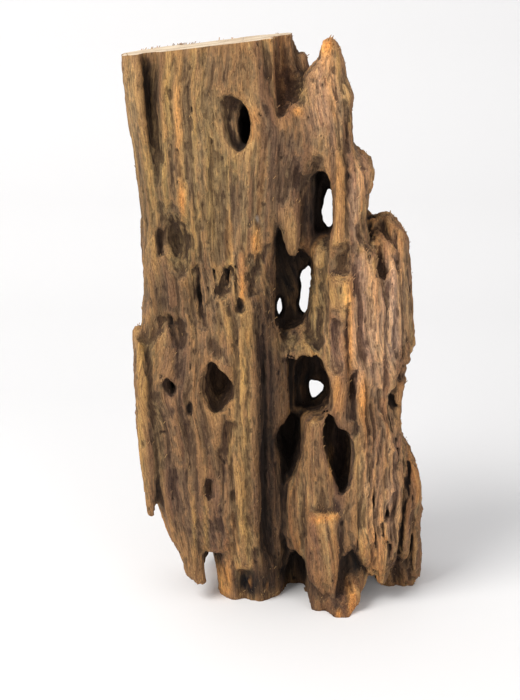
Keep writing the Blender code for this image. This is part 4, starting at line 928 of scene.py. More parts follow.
body = growBody()
print("body grown")
reskin(body, bodySettings["growVoxel"], bodySettings["growSmoothing"])
points, normals = meshPoints(body.data), meshNormals(body.data)
carveFront(points, normals)
weather(points, normals)
markFront(points, normals)
placePoints(body.data, points)
reskin(body, bodySettings["wornVoxel"], bodySettings["wornSmoothing"])
points, normals = meshPoints(body.data), meshNormals(body.data)
print("skin points", len(points))
fineGrain(points, normals)
placePoints(body.data, points)
thinOut(body, bodySettings["triangles"])
cutFlat(body)
placePoints(body.data, fitBox(meshPoints(body.data) - tableOrigin))
print("body worn, triangles", len(body.data.polygons))

# Colours of the wood, and a near black for painted shade
pigments = {
    "tan": (0.300, 0.185, 0.086), "olive": (0.215, 0.138, 0.058), "gold": (0.330, 0.198, 0.074),
    "amber": (0.370, 0.182, 0.068), "orange": (0.560, 0.250, 0.072), "fresh": (0.760, 0.400, 0.130),
    "plum": (0.170, 0.096, 0.053), "brown": (0.195, 0.108, 0.051), "rust": (0.205, 0.098, 0.048),
    "rose": (0.468, 0.272, 0.158), "umber": (0.075, 0.042, 0.025), "shadeBlack": (0.020, 0.012, 0.008),
    "pale": (0.620, 0.520, 0.420),
}

# Soft patches of colour on the front: (colour, x, z, half width, half height, strength). Most are the wood's
# own tones; the near-black patches, and the umber ones in the windows, caves, niche and valley, are painted
# shade.
patches = [
    ("olive", -40, 175, 26, 50, 0.6), ("tan", -30, 195, 12, 30, 0.8), ("brown", -16, 214, 14, 12, 0.5),
    ("tan", -57.5, 200, 3.4, 26, 0.9), ("umber", -50.6, 206, 2.0, 17, 0.5),
    ("umber", -47.6, 212, 2.4, 14, 0.6), ("gold", -43.4, 196, 2.0, 26, 0.9),
    ("gold", -33, 200, 1.8, 24, 0.7), ("gold", -27, 178, 2.2, 22, 0.7),
    ("amber", -39, 196, 1.7, 22, 0.85), ("orange", -38, 168, 1.1, 8, 0.7), ("gold", -30, 160, 5, 12, 0.6),
    ("plum", -6, 206, 4.5, 22, 0.75), ("plum", -12, 170, 10, 16, 0.45), ("plum", 4, 188, 8, 12, 0.55),
    ("olive", -20, 180, 6, 7, 0.6), ("olive", -46, 176, 5, 12, 0.6), ("plum", -35, 208, 2.0, 14, 0.4),
    ("brown", 3.4, 212, 5.4, 12, 0.9), ("rust", 0.6, 212, 4.6, 14, 0.8),
    ("amber", 0.4, 216, 1.2, 10, 0.7), ("olive", 8.8, 208, 2.4, 6, 0.8),
    ("orange", 6.4, 201.5, 1.8, 1.6, 0.7), ("rose", 17.5, 206, 7.5, 20, 0.6),
    ("orange", 17.0, 226, 2.6, 3.0, 0.8), ("fresh", 15.4, 225.6, 0.9, 1.6, 0.7),
    ("gold", 21.4, 218, 1.0, 8, 0.6), ("rust", 25.0, 194, 1.2, 7, 0.7), ("tan", 24.6, 208, 2.4, 8, 0.8),
    ("gold", 26.4, 197, 0.8, 3, 0.8), ("tan", 14, 189, 5, 6, 0.5), ("amber", 22.6, 169, 3.0, 20, 0.7),
    ("brown", 22.2, 168, 3.4, 18, 0.5), ("rose", 28.2, 165, 2.2, 16, 0.8),
    ("rose", 31.6, 176, 3.6, 9, 0.7), ("plum", 7.6, 165, 3.0, 17, 0.7),
    # the umber and near-black patches inside the upper window are painted shade
    ("umber", 10.6, 163, 2.6, 15, 0.85), ("shadeBlack", 14.6, 162, 3.0, 15, 0.97),
    ("tan", 4.4, 156, 2.6, 11, 0.5), ("plum", 1.4, 168, 4, 10, 0.5), ("umber", 10.6, 165, 3.8, 16, 0.85),
    ("shadeBlack", 13.0, 166, 2.2, 14, 0.8), ("plum", -45.6, 151, 2.4, 10, 0.85),
    ("olive", -40, 151, 5, 10, 0.8), ("umber", -47.2, 151, 1.2, 4, 0.8), ("umber", -46, 131, 6, 9, 0.55),
    ("brown", -38, 130, 6, 8, 0.6), ("gold", -34, 156, 1.4, 10, 0.7), ("tan", -25, 134, 5, 8, 0.6),
    ("gold", -20.4, 142, 1.2, 5, 0.8), ("plum", -29.6, 135, 2.2, 8, 0.6),
    ("amber", -15.2, 138, 1.7, 10, 0.9), ("orange", -15.0, 133, 0.8, 5, 0.7),
    ("orange", -9.6, 152, 1.8, 5, 0.85), ("fresh", -9.4, 154, 0.8, 3, 0.6),
    ("pale", -9.0, 160.4, 0.5, 1.5, 0.9), ("brown", -5.4, 152, 3.0, 9, 0.6),
    ("umber", -10.6, 137, 2.0, 8, 0.7), ("gold", -21, 119, 4.5, 6, 0.5),
    ("orange", -13, 114.6, 1.2, 3, 0.7), ("umber", -40, 117, 3.4, 5, 0.4),
    ("plum", -24.5, 108, 5.5, 5, 0.35), ("plum", -36, 104, 9, 9, 0.6), ("olive", -53, 108, 3.5, 6, 0.8),
    ("tan", -45.6, 113, 1.6, 5, 0.7), ("tan", -57, 112, 1.0, 5, 0.8), ("plum", -42, 84, 10, 22, 0.75),
    ("brown", -34, 62, 13, 30, 0.8), ("plum", -44, 50, 8, 14, 0.7), ("gold", -55.2, 82, 2.6, 38, 0.9),
    ("olive", -48.6, 74, 2.4, 26, 0.55), ("brown", -24, 62, 5, 22, 0.7), ("plum", -23, 44, 4.5, 18, 0.75),
    ("gold", -20.2, 69, 0.8, 8, 0.8), ("gold", -35, 30, 1.0, 17, 0.7), ("gold", -30, 34, 0.9, 14, 0.5),
    ("olive", -26, 88, 3, 10, 0.3), ("gold", -14.6, 66, 3.9, 52, 0.85), ("gold", -16.4, 60, 1.0, 40, 0.5),
    ("plum", -11.2, 84, 0.9, 24, 0.5), ("olive", -12.4, 118, 3.4, 10, 0.6),
    ("orange", -22.8, 9.0, 2.9, 6.8, 0.9), ("fresh", -22.9, 6, 2.3, 6, 0.55), ("amber", -20, 22, 3, 9, 0.5),
    # the near-black patches in the low arch of the left foot are painted shade
    ("shadeBlack", -12.0, 7.6, 8.6, 6.6, 1.0), ("shadeBlack", -2.4, 8.6, 8.0, 7.4, 1.0), ("shadeBlack", -8, 9, 5, 5, 0.7),
    ("orange", -12.0, 8.2, 0.6, 2, 0.6), ("orange", -5.0, 7.0, 0.6, 1.6, 0.5),
    # the umber and near-black patches on these lines, down the valley and in the caves, windows and niche,
    # are painted shade; the valley's is the gold ridge's shadow
    ("umber", -4.6, 106, 4.8, 44, 0.75), ("shadeBlack", -5.2, 72, 4.2, 22, 0.95),
    ("umber", -4.4, 34, 5.4, 32, 0.9), ("shadeBlack", -5.4, 34, 3.0, 26, 0.6), ("umber", 4.8, 40, 3.0, 15, 0.6),
    ("umber", -1.0, 96, 1.8, 16, 0.95), ("umber", -6, 124, 3.2, 12, 0.75), ("olive", 8.0, 110, 9, 5, 0.7),
    ("olive", 14.6, 126, 3.2, 18, 0.85), ("shadeBlack", 5.0, 133, 6.6, 17, 0.95),
    ("shadeBlack", -0.6, 152, 2.8, 8, 0.95), ("shadeBlack", 9.6, 92, 8.0, 12, 0.92), ("shadeBlack", 3.6, 66, 5.4, 14, 0.9),
    ("umber", 24, 66, 5, 15, 0.92), ("umber", 29.4, 95, 1.8, 7, 0.7),
    ("gold", 22.4, 131.6, 4.4, 5.4, 0.8), ("fresh", 25.6, 131, 1.4, 5, 0.55),
    ("gold", 18.2, 137.6, 1.2, 1.6, 0.8), ("rose", 21.8, 113, 3.6, 13, 0.5),
    ("rust", 22.2, 112, 3.0, 11, 0.5), ("amber", 23.0, 91, 2.4, 9, 0.8),
    ("gold", 19.0, 112, 0.8, 12, 0.7), ("tan", 23.4, 144, 4.6, 5, 0.6), ("olive", 17.5, 145, 3, 6, 0.5),
    ("gold", 19.6, 150, 1.4, 3, 0.6), ("rose", 34.4, 118, 6.8, 26, 0.95), ("rose", 31, 138, 3, 12, 0.6),
    ("orange", 27.3, 116, 1.0, 19, 0.9), ("fresh", 27.0, 127, 0.5, 3, 0.7),
    ("gold", 30.6, 148.6, 1.4, 2.2, 0.7), ("gold", 36.6, 143.4, 1.0, 2.4, 0.7),
    ("rose", 44.6, 126, 6.0, 28, 0.95), ("amber", 47.6, 134, 1.8, 20, 0.75),
    ("tan", 50.2, 124, 1.2, 20, 0.6), ("pale", 44.8, 122, 5.5, 24, 0.14),
    ("rust", 48.8, 100, 2.2, 9, 0.7), ("brown", 44.6, 155, 4, 5, 0.6), ("gold", 44.0, 148, 1.0, 2.2, 0.6),
    ("brown", 38.6, 154, 4.4, 4, 0.8), ("umber", 38.8, 141, 2.4, 6, 0.55), ("rose", 41, 100, 3, 14, 0.6),
    ("orange", 33.2, 89, 1.9, 9, 0.72), ("amber", 34.2, 71, 1.7, 10, 0.75),
    ("rust", 37.6, 74, 2, 10, 0.6), ("olive", 30.6, 66, 1.4, 14, 0.5), ("brown", 14, 60, 4.6, 18, 0.75),
    ("brown", 28.6, 38, 3.4, 16, 0.8), ("brown", 8.6, 42, 3.4, 20, 0.6), ("rust", 14.4, 25, 4.6, 16, 0.5),
    ("tan", 19.6, 27, 2.6, 14, 0.4), ("brown", 22.4, 21, 2.2, 14, 0.7),
    ("fresh", 20.8, 41.0, 2.6, 1.5, 0.85), ("orange", 15.4, 40.6, 3.4, 1.6, 0.6),
    ("gold", 33.8, 40, 1.6, 17, 0.75), ("rose", 42, 50, 9, 30, 0.5), ("rose", 30, 124, 2.2, 18, 0.9),
    ("rust", 40, 58, 3.5, 14, 0.4), ("rose", 44.6, 44, 1.0, 12, 0.5), ("rust", 53.4, 42, 3.2, 20, 0.75),
    ("umber", 53, 48, 1.6, 9, 0.7), ("amber", 37.8, 22, 2.4, 9, 0.8), ("rust", 24, 3, 12, 9, 1.0),
    ("umber", 21, 3, 9, 9, 0.75), ("orange", 29.4, 5, 1.8, 7, 0.6), ("orange", 27.6, 10, 1.0, 3, 0.6),
    ("orange", 24.0, 1.0, 1.0, 1.6, 0.6), ("umber", 49.6, 12, 6.4, 9, 0.85),
    # the near-black patches on this line are painted shade, the first in the foot arch
    ("tan", 57.6, 14, 1.2, 12, 0.5), ("shadeBlack", 7.6, 8, 6.0, 16, 0.98), ("shadeBlack", 31.0, 19, 4.6, 6.5, 0.9),
    ("orange", 43.6, 28.4, 0.7, 1.6, 0.7), ("fresh", 21.0, 61.0, 1.2, 3.6, 0.8),
]

coverSettings = {
    "rays": 12, "reach": 24.0,                  # how far a ray looks for wood that shuts a spot in
    "fanDepth": 0.93,                           # how low the rays fan out, where 1 is level with the wood
    "lift": 0.12,                               # how far off the wood they start
    "crestRounds": 6, "swellRounds": 60,        # smoothing rounds behind the fine and the broad relief
    "crestHeight": 0.28, "swellHeight": 1.3,
}

paintSettings = {
    # random fields, each (width, length, seed): two mix the ground colours, two ruffle the patches
    "broad": (9, 70, 40.3), "narrow": (3.2, 40, 52.6),
    "ruffle": (2.4, 16, 61.2), "fineRuffle": (1.1, 7, 70.9),
    # ground colours over the brown, each with where it begins and where it is full
    "ground": [("tan", 0.12, 0.3), ("plum", -0.10, -0.3), ("amber", 0.38, 0.5)],
}

# Hollows that more light finds its way into: (x, z, half width, half height, share)
openings = [
    (3, 213, 8, 14, 0.85), (-49, 205, 4, 24, 0.4), (24.5, 66, 5, 14, 0.45), (-24.5, 93, 7, 12, 0.6),
    (-44, 94, 4, 6, 0.4), (-41, 151, 8, 12, 0.7), (-28, 51, 4, 8, 0.7), (41, 140, 5, 18, 0.5),
    (29.5, 94, 3, 9, 0.6), (50, 10, 8, 12, 0.3), (22.5, 146, 6, 8, 0.6), (29, 122, 3.4, 26, 0.5),
]


def shutIn(points, normals, mesh):
    # share of short rays from each point that meet wood again; the colour uses it as painted shade
    tree = BVHTree.FromPolygons([tuple(p) for p in points.tolist()],
                                [tuple(face.vertices) for face in mesh.polygons])
    reach = coverSettings["reach"]
    turn = math.pi * (3 - math.sqrt(5))
    fan = []
    for n in range(coverSettings["rays"]):
        height = 1 - (n + 0.5) / coverSettings["rays"] * coverSettings["fanDepth"]
        out = math.sqrt(1 - height * height)
        fan.append((math.cos(turn * n) * out, math.sin(turn * n) * out, height))
    cast = tree.ray_cast
    shut = np.zeros(len(points))
    for n, (place, normal) in enumerate(zip(points.tolist(), normals.tolist())):
        up = Vector(normal)
        side = up.orthogonal().normalized()
        across = up.cross(side)
        start = Vector(place) + up * coverSettings["lift"]
        total = 0.0
        for a, b, c in fan:
            gap = cast(start, side * a + across * b + up * c, reach)[3]
            if gap is not None:
                total += (1 - gap / reach) * (0.4 + c)
        shut[n] = total
    return shut / sum(0.4 + c for a, b, c in fan)


def evened(values, edges, rounds):
    # values averaged with their neighbours along the edges
    a, b = edges[:, 0], edges[:, 1]
    count = len(values)
    share = np.bincount(a, minlength=count) + np.bincount(b, minlength=count)
    columns = []
    for column in values.T:
        for turn in range(rounds):
            column = (np.bincount(a, column[b], count) + np.bincount(b, column[a], count)) / share
        columns.append(column)
    return np.array(columns).T


def paintWood(points, normals):
    # colour at each point: the wood's ground colours drawn along the grain, then the soft patches, painted
    # shade among them
    grain = grainPlace(points)
    broad = grainField(grain, paintSettings["broad"])
    narrow = grainField(grain, paintSettings["narrow"])
    colour = np.tile(pigments["brown"], (len(points), 1))
    for name, begins, full in paintSettings["ground"]:
        share = smoothStep(0, 1, (broad + 0.5 * narrow - begins) / (full - begins))[:, None]
        colour = colour * (1 - share) + np.array(pigments[name]) * share
    front = smoothStep(-0.25, 0.25, -normals[:, 1] + 0.3)
    ruffle = grainField(grain, paintSettings["ruffle"])
    fineRuffle = grainField(grain, paintSettings["fineRuffle"])
    shake = 0.34 * ruffle + 0.2 * fineRuffle
    for name, x, z, halfWidth, halfHeight, strength in patches:
        gap = ((points[:, 0] - x) / halfWidth) ** 2 + ((points[:, 2] - z) / halfHeight) ** 2
        share = (strength * front * np.exp(-gap ** 1.4) * np.clip(1 + 1.6 * shake, 0.2, 1.25))[:, None]
        colour = colour * (1 - share) + np.array(pigments[name]) * share
    return colour


# Places where splinters stand out of the wood: (x, z, half width, half height, share)
brokenPlaces = [
    (17.0, 226.5, 3.4, 3.4, 1.0), (6.4, 201.5, 4.0, 2.4, 0.5), (12, 214, 5, 8, 0.12),
    (18, 41.4, 7.5, 1.6, 1.0), (18, 45, 7, 4, 0.25), (22.5, 137.6, 5.5, 1.4, 0.8), (-24, 134, 7, 9, 0.22),
    (-9.8, 153, 2.2, 6, 0.7), (-15.2, 136, 2.0, 8, 0.3), (27.2, 112, 1.0, 19, 0.5),
    (21.0, 61, 0.9, 3.6, 1.0), (-14, 1.6, 13, 2.4, 0.5), (23, 2.0, 9, 3.6, 0.3),
    (43.6, 28, 1.0, 2.4, 0.8), (34, 146, 7, 5, 0.3), (-46, 116, 12, 3, 0.35), (-4.6, 118, 5, 12, 0.1),
    (40, 14, 10, 4, 0.3), (-35, 10, 5, 4, 0.3),
]


def brokenShare(points, normals, crest, shut):
    # worn edges fray a little everywhere, and broken places fray thickly
    share = 0.006 + 0.05 * smoothStep(0.25, 0.9, crest)
    for x, z, halfWidth, halfHeight, strength in brokenPlaces:
        gap = ((points[:, 0] - x) / halfWidth) ** 2 + ((points[:, 2] - z) / halfHeight) ** 2
        share = share + strength * np.exp(-gap ** 2) * smoothStep(0.2, -0.4, normals[:, 1])
    # height as if the saw cut didn't rise to the right
    levelled = points[:, 2] - bodySettings["sawRiseRight"] * (points[:, 0] + 58)
    backRim = smoothStep(48, 51, points[:, 1]) * smoothStep(221.4, 223.2, levelled)
    share = share + 3.6 * backRim * smoothStep(-0.1, 0.25, field(points, 6.0, 44.0))
    return share * smoothStep(0.35, 0.15, shut)


def giveAttribute(mesh, name, kind, values):
    layer = mesh.attributes.new(name, kind, "POINT")
    place = {"FLOAT": "value", "FLOAT_VECTOR": "vector", "FLOAT_COLOR": "color"}[kind]
    layer.data.foreach_set(place, np.ascontiguousarray(values, dtype=np.float32).ravel())


def dressBody(body):
    mesh = body.data
    points, normals = meshPoints(mesh), meshNormals(mesh)
    table = points + tableOrigin
    edges = np.empty(len(mesh.edges) * 2, dtype=np.int32)
    mesh.edges.foreach_get("vertices", edges)
    edges = edges.reshape(-1, 2)
    shut = shutIn(points, normals, mesh)
    near = evened(points, edges, coverSettings["crestRounds"])
    far = evened(near, edges, coverSettings["swellRounds"])
    crest = ((points - near) * normals).sum(axis=1) / coverSettings["crestHeight"]
    swell = ((points - far) * normals).sum(axis=1) / coverSettings["swellHeight"]
    for x, z, halfWidth, halfHeight, share in openings:
        gap = ((table[:, 0] - x) / halfWidth) ** 2 + ((table[:, 2] - z) / halfHeight) ** 2
        shut = shut * (1 - share * np.exp(-gap))
    broken = brokenShare(table, normals, crest, shut)
    giveAttribute(mesh, "broken", "FLOAT", broken)
    giveAttribute(mesh, "shut", "FLOAT", shut)
    giveAttribute(mesh, "crest", "FLOAT", np.clip(crest, -1, 1))
    giveAttribute(mesh, "swell", "FLOAT", np.clip(swell, -1, 1))
    giveAttribute(mesh, "grain", "FLOAT_VECTOR", grainPlace(table))
    giveAttribute(mesh, "pigmentAndShade", "FLOAT_COLOR", np.c_[paintWood(table, normals), np.ones(len(points))])


dressBody(body)
print("body coloured")


def addNode(tree, kind, inputs=None, **settings):
    # a node with its settings, and its inputs from values or from other nodes' sockets
    node = tree.nodes.new(kind)
    for name, value in settings.items():
        setattr(node, name, value)
    for socket, value in (inputs or {}).items():
        if isinstance(value, bpy.types.NodeSocket):
            tree.links.new(value, node.inputs[socket])
        else:
            node.inputs[socket].default_value = value
    return node


def plainPaper(name, colour):
    paper = bpy.data.materials.new(name)
    paper.use_nodes = True
    shader = paper.node_tree.nodes["Principled BSDF"]
    shader.inputs["Base Color"].default_value = (*colour, 1)
    shader.inputs["Roughness"].default_value = 0.9
    return paper


def ranged(tree, value, low, high, toLow=0.0, toHigh=1.0):
    # the value carried softly from one range to another
    node = addNode(tree, "ShaderNodeMapRange", {0: value, 1: low, 2: high, 3: toLow, 4: toHigh},
                   interpolation_type="SMOOTHSTEP")
    return node.outputs[0]


def sums(tree, operation, a, b=0.0, c=0.0):
    return addNode(tree, "ShaderNodeMath", {0: a, 1: b, 2: c}, operation=operation).outputs[0]


def mixed(tree, share, a, b, blend="MIX"):
    node = addNode(tree, "ShaderNodeMix", {0: share, 6: a, 7: b}, data_type="RGBA", blend_type=blend)
    return node.outputs[2]


def streaks(tree, place, width, length, detail, offset, rough=0.6):
    # noise drawn out along the grain, about 0 to 1
    at = addNode(tree, "ShaderNodeMapping", {"Vector": place, "Location": (offset, offset, offset),
                                             "Scale": (1 / width, 1 / width, 1 / length)})
    noiseNode = addNode(tree, "ShaderNodeTexNoise", {"Vector": at.outputs[0], "Scale": 1.0, "Detail": detail,
                                                     "Roughness": rough})
    return noiseNode.outputs[0]


weatheredSettings = {
    # streaks along the grain: (width, length, detail, offset, roughness)
    "streaks": {"bands": (3.2, 70, 3, 3.1, 0.6), "lines": (0.85, 30, 4, 7.7, 0.66),
                "fibres": (0.36, 8, 3, 13.3, 0.66), "grit": (0.55, 0.9, 3, 23.9, 0.75),
                "pores": (0.6, 1.8, 1, 31.4, 0.5)},
    # tints laid over the pigment in turn: (what drives it, where it begins, where it is full, most, tint)
    "tints": [
        ("bands", 0.42, 0.66, 1.0, (1.20, 1.16, 1.05)), ("bands", 0.56, 0.30, 1.0, (0.78, 0.72, 0.78)),
        ("lines", 0.50, 0.32, 0.7, (0.62, 0.57, 0.60)), ("lines", 0.52, 0.70, 0.8, (1.32, 1.29, 1.20)),
        ("fibres", 0.50, 0.34, 0.9, (0.52, 0.47, 0.46)), ("fibres", 0.52, 0.68, 0.8, (1.55, 1.50, 1.42)),
        ("grit", 0.47, 0.32, 0.85, (0.55, 0.5, 0.48)), ("grit", 0.53, 0.68, 0.75, (1.35, 1.32, 1.25)),
        # crests lighter: painted highlight on the edges, with their wear; creases darker: painted shade, with
        # their dirt
        ("crest", 0.10, 0.9, 0.7, (1.66, 1.50, 1.34)), ("crest", -0.05, -0.8, 0.75, (0.42, 0.37, 0.38)),
        # broad bulges lighter and broad hollows darker: painted light and shade
        ("swell", 0.1, 1.0, 0.5, (1.30, 1.24, 1.12)), ("swell", -0.05, -0.9, 0.7, (0.5, 0.44, 0.45)),
    ],
    "cast": (0.86, 0.94, 1.0),                  # last tint, over everything
    "lineHeight": 0.55, "fibreHeight": 0.3, "gritHeight": 0.22, "poreDepth": 0.5,
    "bump": 0.0009, "specular": 0.28,
}


def weatheredWood():
    # pigment with its painted shade, and relief come from the mesh, streaks and pores are added along its
    # grain
    wood = bpy.data.materials.new("weathered wood")
    wood.use_nodes = True
    tree = wood.node_tree
    shader = tree.nodes["Principled BSDF"]
    grain = addNode(tree, "ShaderNodeAttribute", attribute_name="grain").outputs["Vector"]
    colour = addNode(tree, "ShaderNodeAttribute", attribute_name="pigmentAndShade").outputs["Color"]
    drives = {name: addNode(tree, "ShaderNodeAttribute", attribute_name=name).outputs["Fac"]
              for name in ("shut", "crest", "swell")}
    for name, (width, length, detail, offset, rough) in weatheredSettings["streaks"].items():
        drives[name] = streaks(tree, grain, width, length, detail, offset, rough)

    for name, begins, full, most, tint in weatheredSettings["tints"]:
        share = ranged(tree, drives[name], begins, full, 0, most)
        colour = mixed(tree, share, colour, (*tint, 1), "MULTIPLY")
    colour = mixed(tree, 1.0, colour, (*weatheredSettings["cast"], 1), "MULTIPLY")
    # spots that the rays find shut in go near black: painted shade in the hollows, with a little of their
    # dirt
    colour = mixed(tree, ranged(tree, drives["shut"], 0.22, 0.60, 0, 0.98), colour, (*pigments["shadeBlack"], 1))
    colour = mixed(tree, ranged(tree, drives["pores"], 0.79, 0.84, 0, 0.85), colour, (*pigments["shadeBlack"], 1))

    height = sums(tree, "MULTIPLY", drives["lines"], weatheredSettings["lineHeight"])
    height = sums(tree, "MULTIPLY_ADD", drives["fibres"], weatheredSettings["fibreHeight"], height)
    height = sums(tree, "MULTIPLY_ADD", drives["grit"], weatheredSettings["gritHeight"], height)
    sunk = ranged(tree, drives["pores"], 0.66, 0.78)
    height = sums(tree, "MULTIPLY_ADD", sunk, -weatheredSettings["poreDepth"], height)
    bump = addNode(tree, "ShaderNodeBump", {"Height": height, "Distance": weatheredSettings["bump"],
                                            "Strength": 1.0})
    tree.links.new(colour, shader.inputs["Base Color"])
    tree.links.new(ranged(tree, drives["lines"], 0.3, 0.7, 0.92, 0.74), shader.inputs["Roughness"])
    tree.links.new(bump.outputs[0], shader.inputs["Normal"])
    shader.inputs["Specular IOR Level"].default_value = weatheredSettings["specular"]
    return wood


sawnSettings = {
    "pale": (0.76, 0.63, 0.46), "tan": (0.64, 0.49, 0.33), "ring": (0.47, 0.32, 0.19),
    "mark": (0.55, 0.42, 0.29), "speck": (0.34, 0.22, 0.13), "crack": (0.12, 0.075, 0.045),
    "heart": (-14, 30),                         # where the rings and the cracks run from
    "rings": 2.3, "ringWander": 5.0,            # radians to the millimetre, and how uneven they are
    "cracks": 23, "crackWander": 0.5, "crackWidth": 0.035,   # all the way round, some of them closed
    "sawTurn": 0.5, "sawLines": (2.2, 0.12, 0.12),           # the way the saw ran, and how its marks draw out
    "speckDepth": 0.5, "crackDepth": 1.5, "bump": 0.0004,
}


def sawnWood():
    # end grain: rings, the marks of the saw, specks and drying cracks
    wood = bpy.data.materials.new("sawn wood")
    wood.use_nodes = True
    tree = wood.node_tree
    shader = tree.nodes["Principled BSDF"]
    paint = {name: (*sawnSettings[name], 1) for name in ("pale", "tan", "ring", "mark", "speck", "crack")}
    place = addNode(tree, "ShaderNodeTexCoord").outputs["Object"]
    millimetres = addNode(tree, "ShaderNodeVectorMath", {0: place, 1: (1000, 1000, 1000)},
                          operation="MULTIPLY").outputs[0]
    wavy = streaks(tree, millimetres, 9, 9, 2, 2.2)
    heartX, heartY = sawnSettings["heart"]
    centred = addNode(tree, "ShaderNodeMapping",
                      {"Vector": millimetres, "Location": (-heartX, -heartY, 0)}).outputs[0]
    span = addNode(tree, "ShaderNodeVectorMath", {0: centred}, operation="LENGTH").outputs[1]
    rings = sums(tree, "MULTIPLY", span, sawnSettings["rings"])
    rings = sums(tree, "SINE", sums(tree, "MULTIPLY_ADD", wavy, sawnSettings["ringWander"], rings))
    marks = addNode(tree, "ShaderNodeMapping", {"Vector": millimetres, "Scale": sawnSettings["sawLines"],
                                                "Rotation": (0, 0, sawnSettings["sawTurn"])}).outputs[0]
    marks = addNode(tree, "ShaderNodeTexNoise", {"Vector": marks, "Scale": 1.0, "Detail": 3}).outputs[0]
    specks = streaks(tree, millimetres, 0.5, 0.5, 2, 9.0)
    turned = addNode(tree, "ShaderNodeTexGradient", {"Vector": centred}, gradient_type="RADIAL").outputs[1]
    rays = sums(tree, "MULTIPLY", turned, sawnSettings["cracks"])
    rays = sums(tree, "PINGPONG", sums(tree, "MULTIPLY_ADD", wavy, sawnSettings["crackWander"], rays), 0.5)
    split = ranged(tree, streaks(tree, millimetres, 6, 6, 1, 5.1), 0.46, 0.56)
    cracks = sums(tree, "MULTIPLY", ranged(tree, rays, sawnSettings["crackWidth"], 0.0), split)

    colour = mixed(tree, ranged(tree, wavy, 0.35, 0.65), paint["pale"], paint["tan"])
    colour = mixed(tree, ranged(tree, rings, 0.0, 1.0, 0, 0.6), colour, paint["ring"])
    colour = mixed(tree, ranged(tree, marks, 0.5, 0.36, 0, 0.4), colour, paint["mark"])
    colour = mixed(tree, ranged(tree, specks, 0.60, 0.74, 0, 0.6), colour, paint["speck"])
    colour = mixed(tree, cracks, colour, paint["crack"])
    height = sums(tree, "MULTIPLY_ADD", specks, -sawnSettings["speckDepth"], marks)
    height = sums(tree, "MULTIPLY_ADD", cracks, -sawnSettings["crackDepth"], height)
    bump = addNode(tree, "ShaderNodeBump", {"Height": height, "Distance": sawnSettings["bump"],
                                            "Strength": 0.8})
    tree.links.new(colour, shader.inputs["Base Color"])
    tree.links.new(ranged(tree, marks, 0.3, 0.7, 0.7, 0.9), shader.inputs["Roughness"])
    tree.links.new(bump.outputs[0], shader.inputs["Normal"])
    return wood


for wood in (weatheredWood(), sawnWood()):
    body.data.materials.append(wood)
for face in body.data.polygons:
    face.use_smooth = face.material_index == 0  # the sawn face is flat shaded
print("wood finished")

fibreSettings = {
    "thickest": 1.1e6,                          # splinters to the square metre where broken is 1
    "radius": 0.00016, "taper": 0.82,           # in metres at the root, and the share lost by the tip
    "root": (0.0, 0.0, -0.0005), "middle": (0.0001, 0.0, 0.0006), "tip": (0.0004, 0.0001, 0.0013),
    "steps": 4, "sides": 4,                     # along a splinter, and around it
    "seed": 5, "sizeSeed": 11,
    "smallest": 0.30, "largest": 1.0,
    "stand": 0.22, "spread": 0.42,              # how far they stand off the wood, and how they scatter
    "lowest": 0.5, "highest": 1.2,              # how far up they point
}


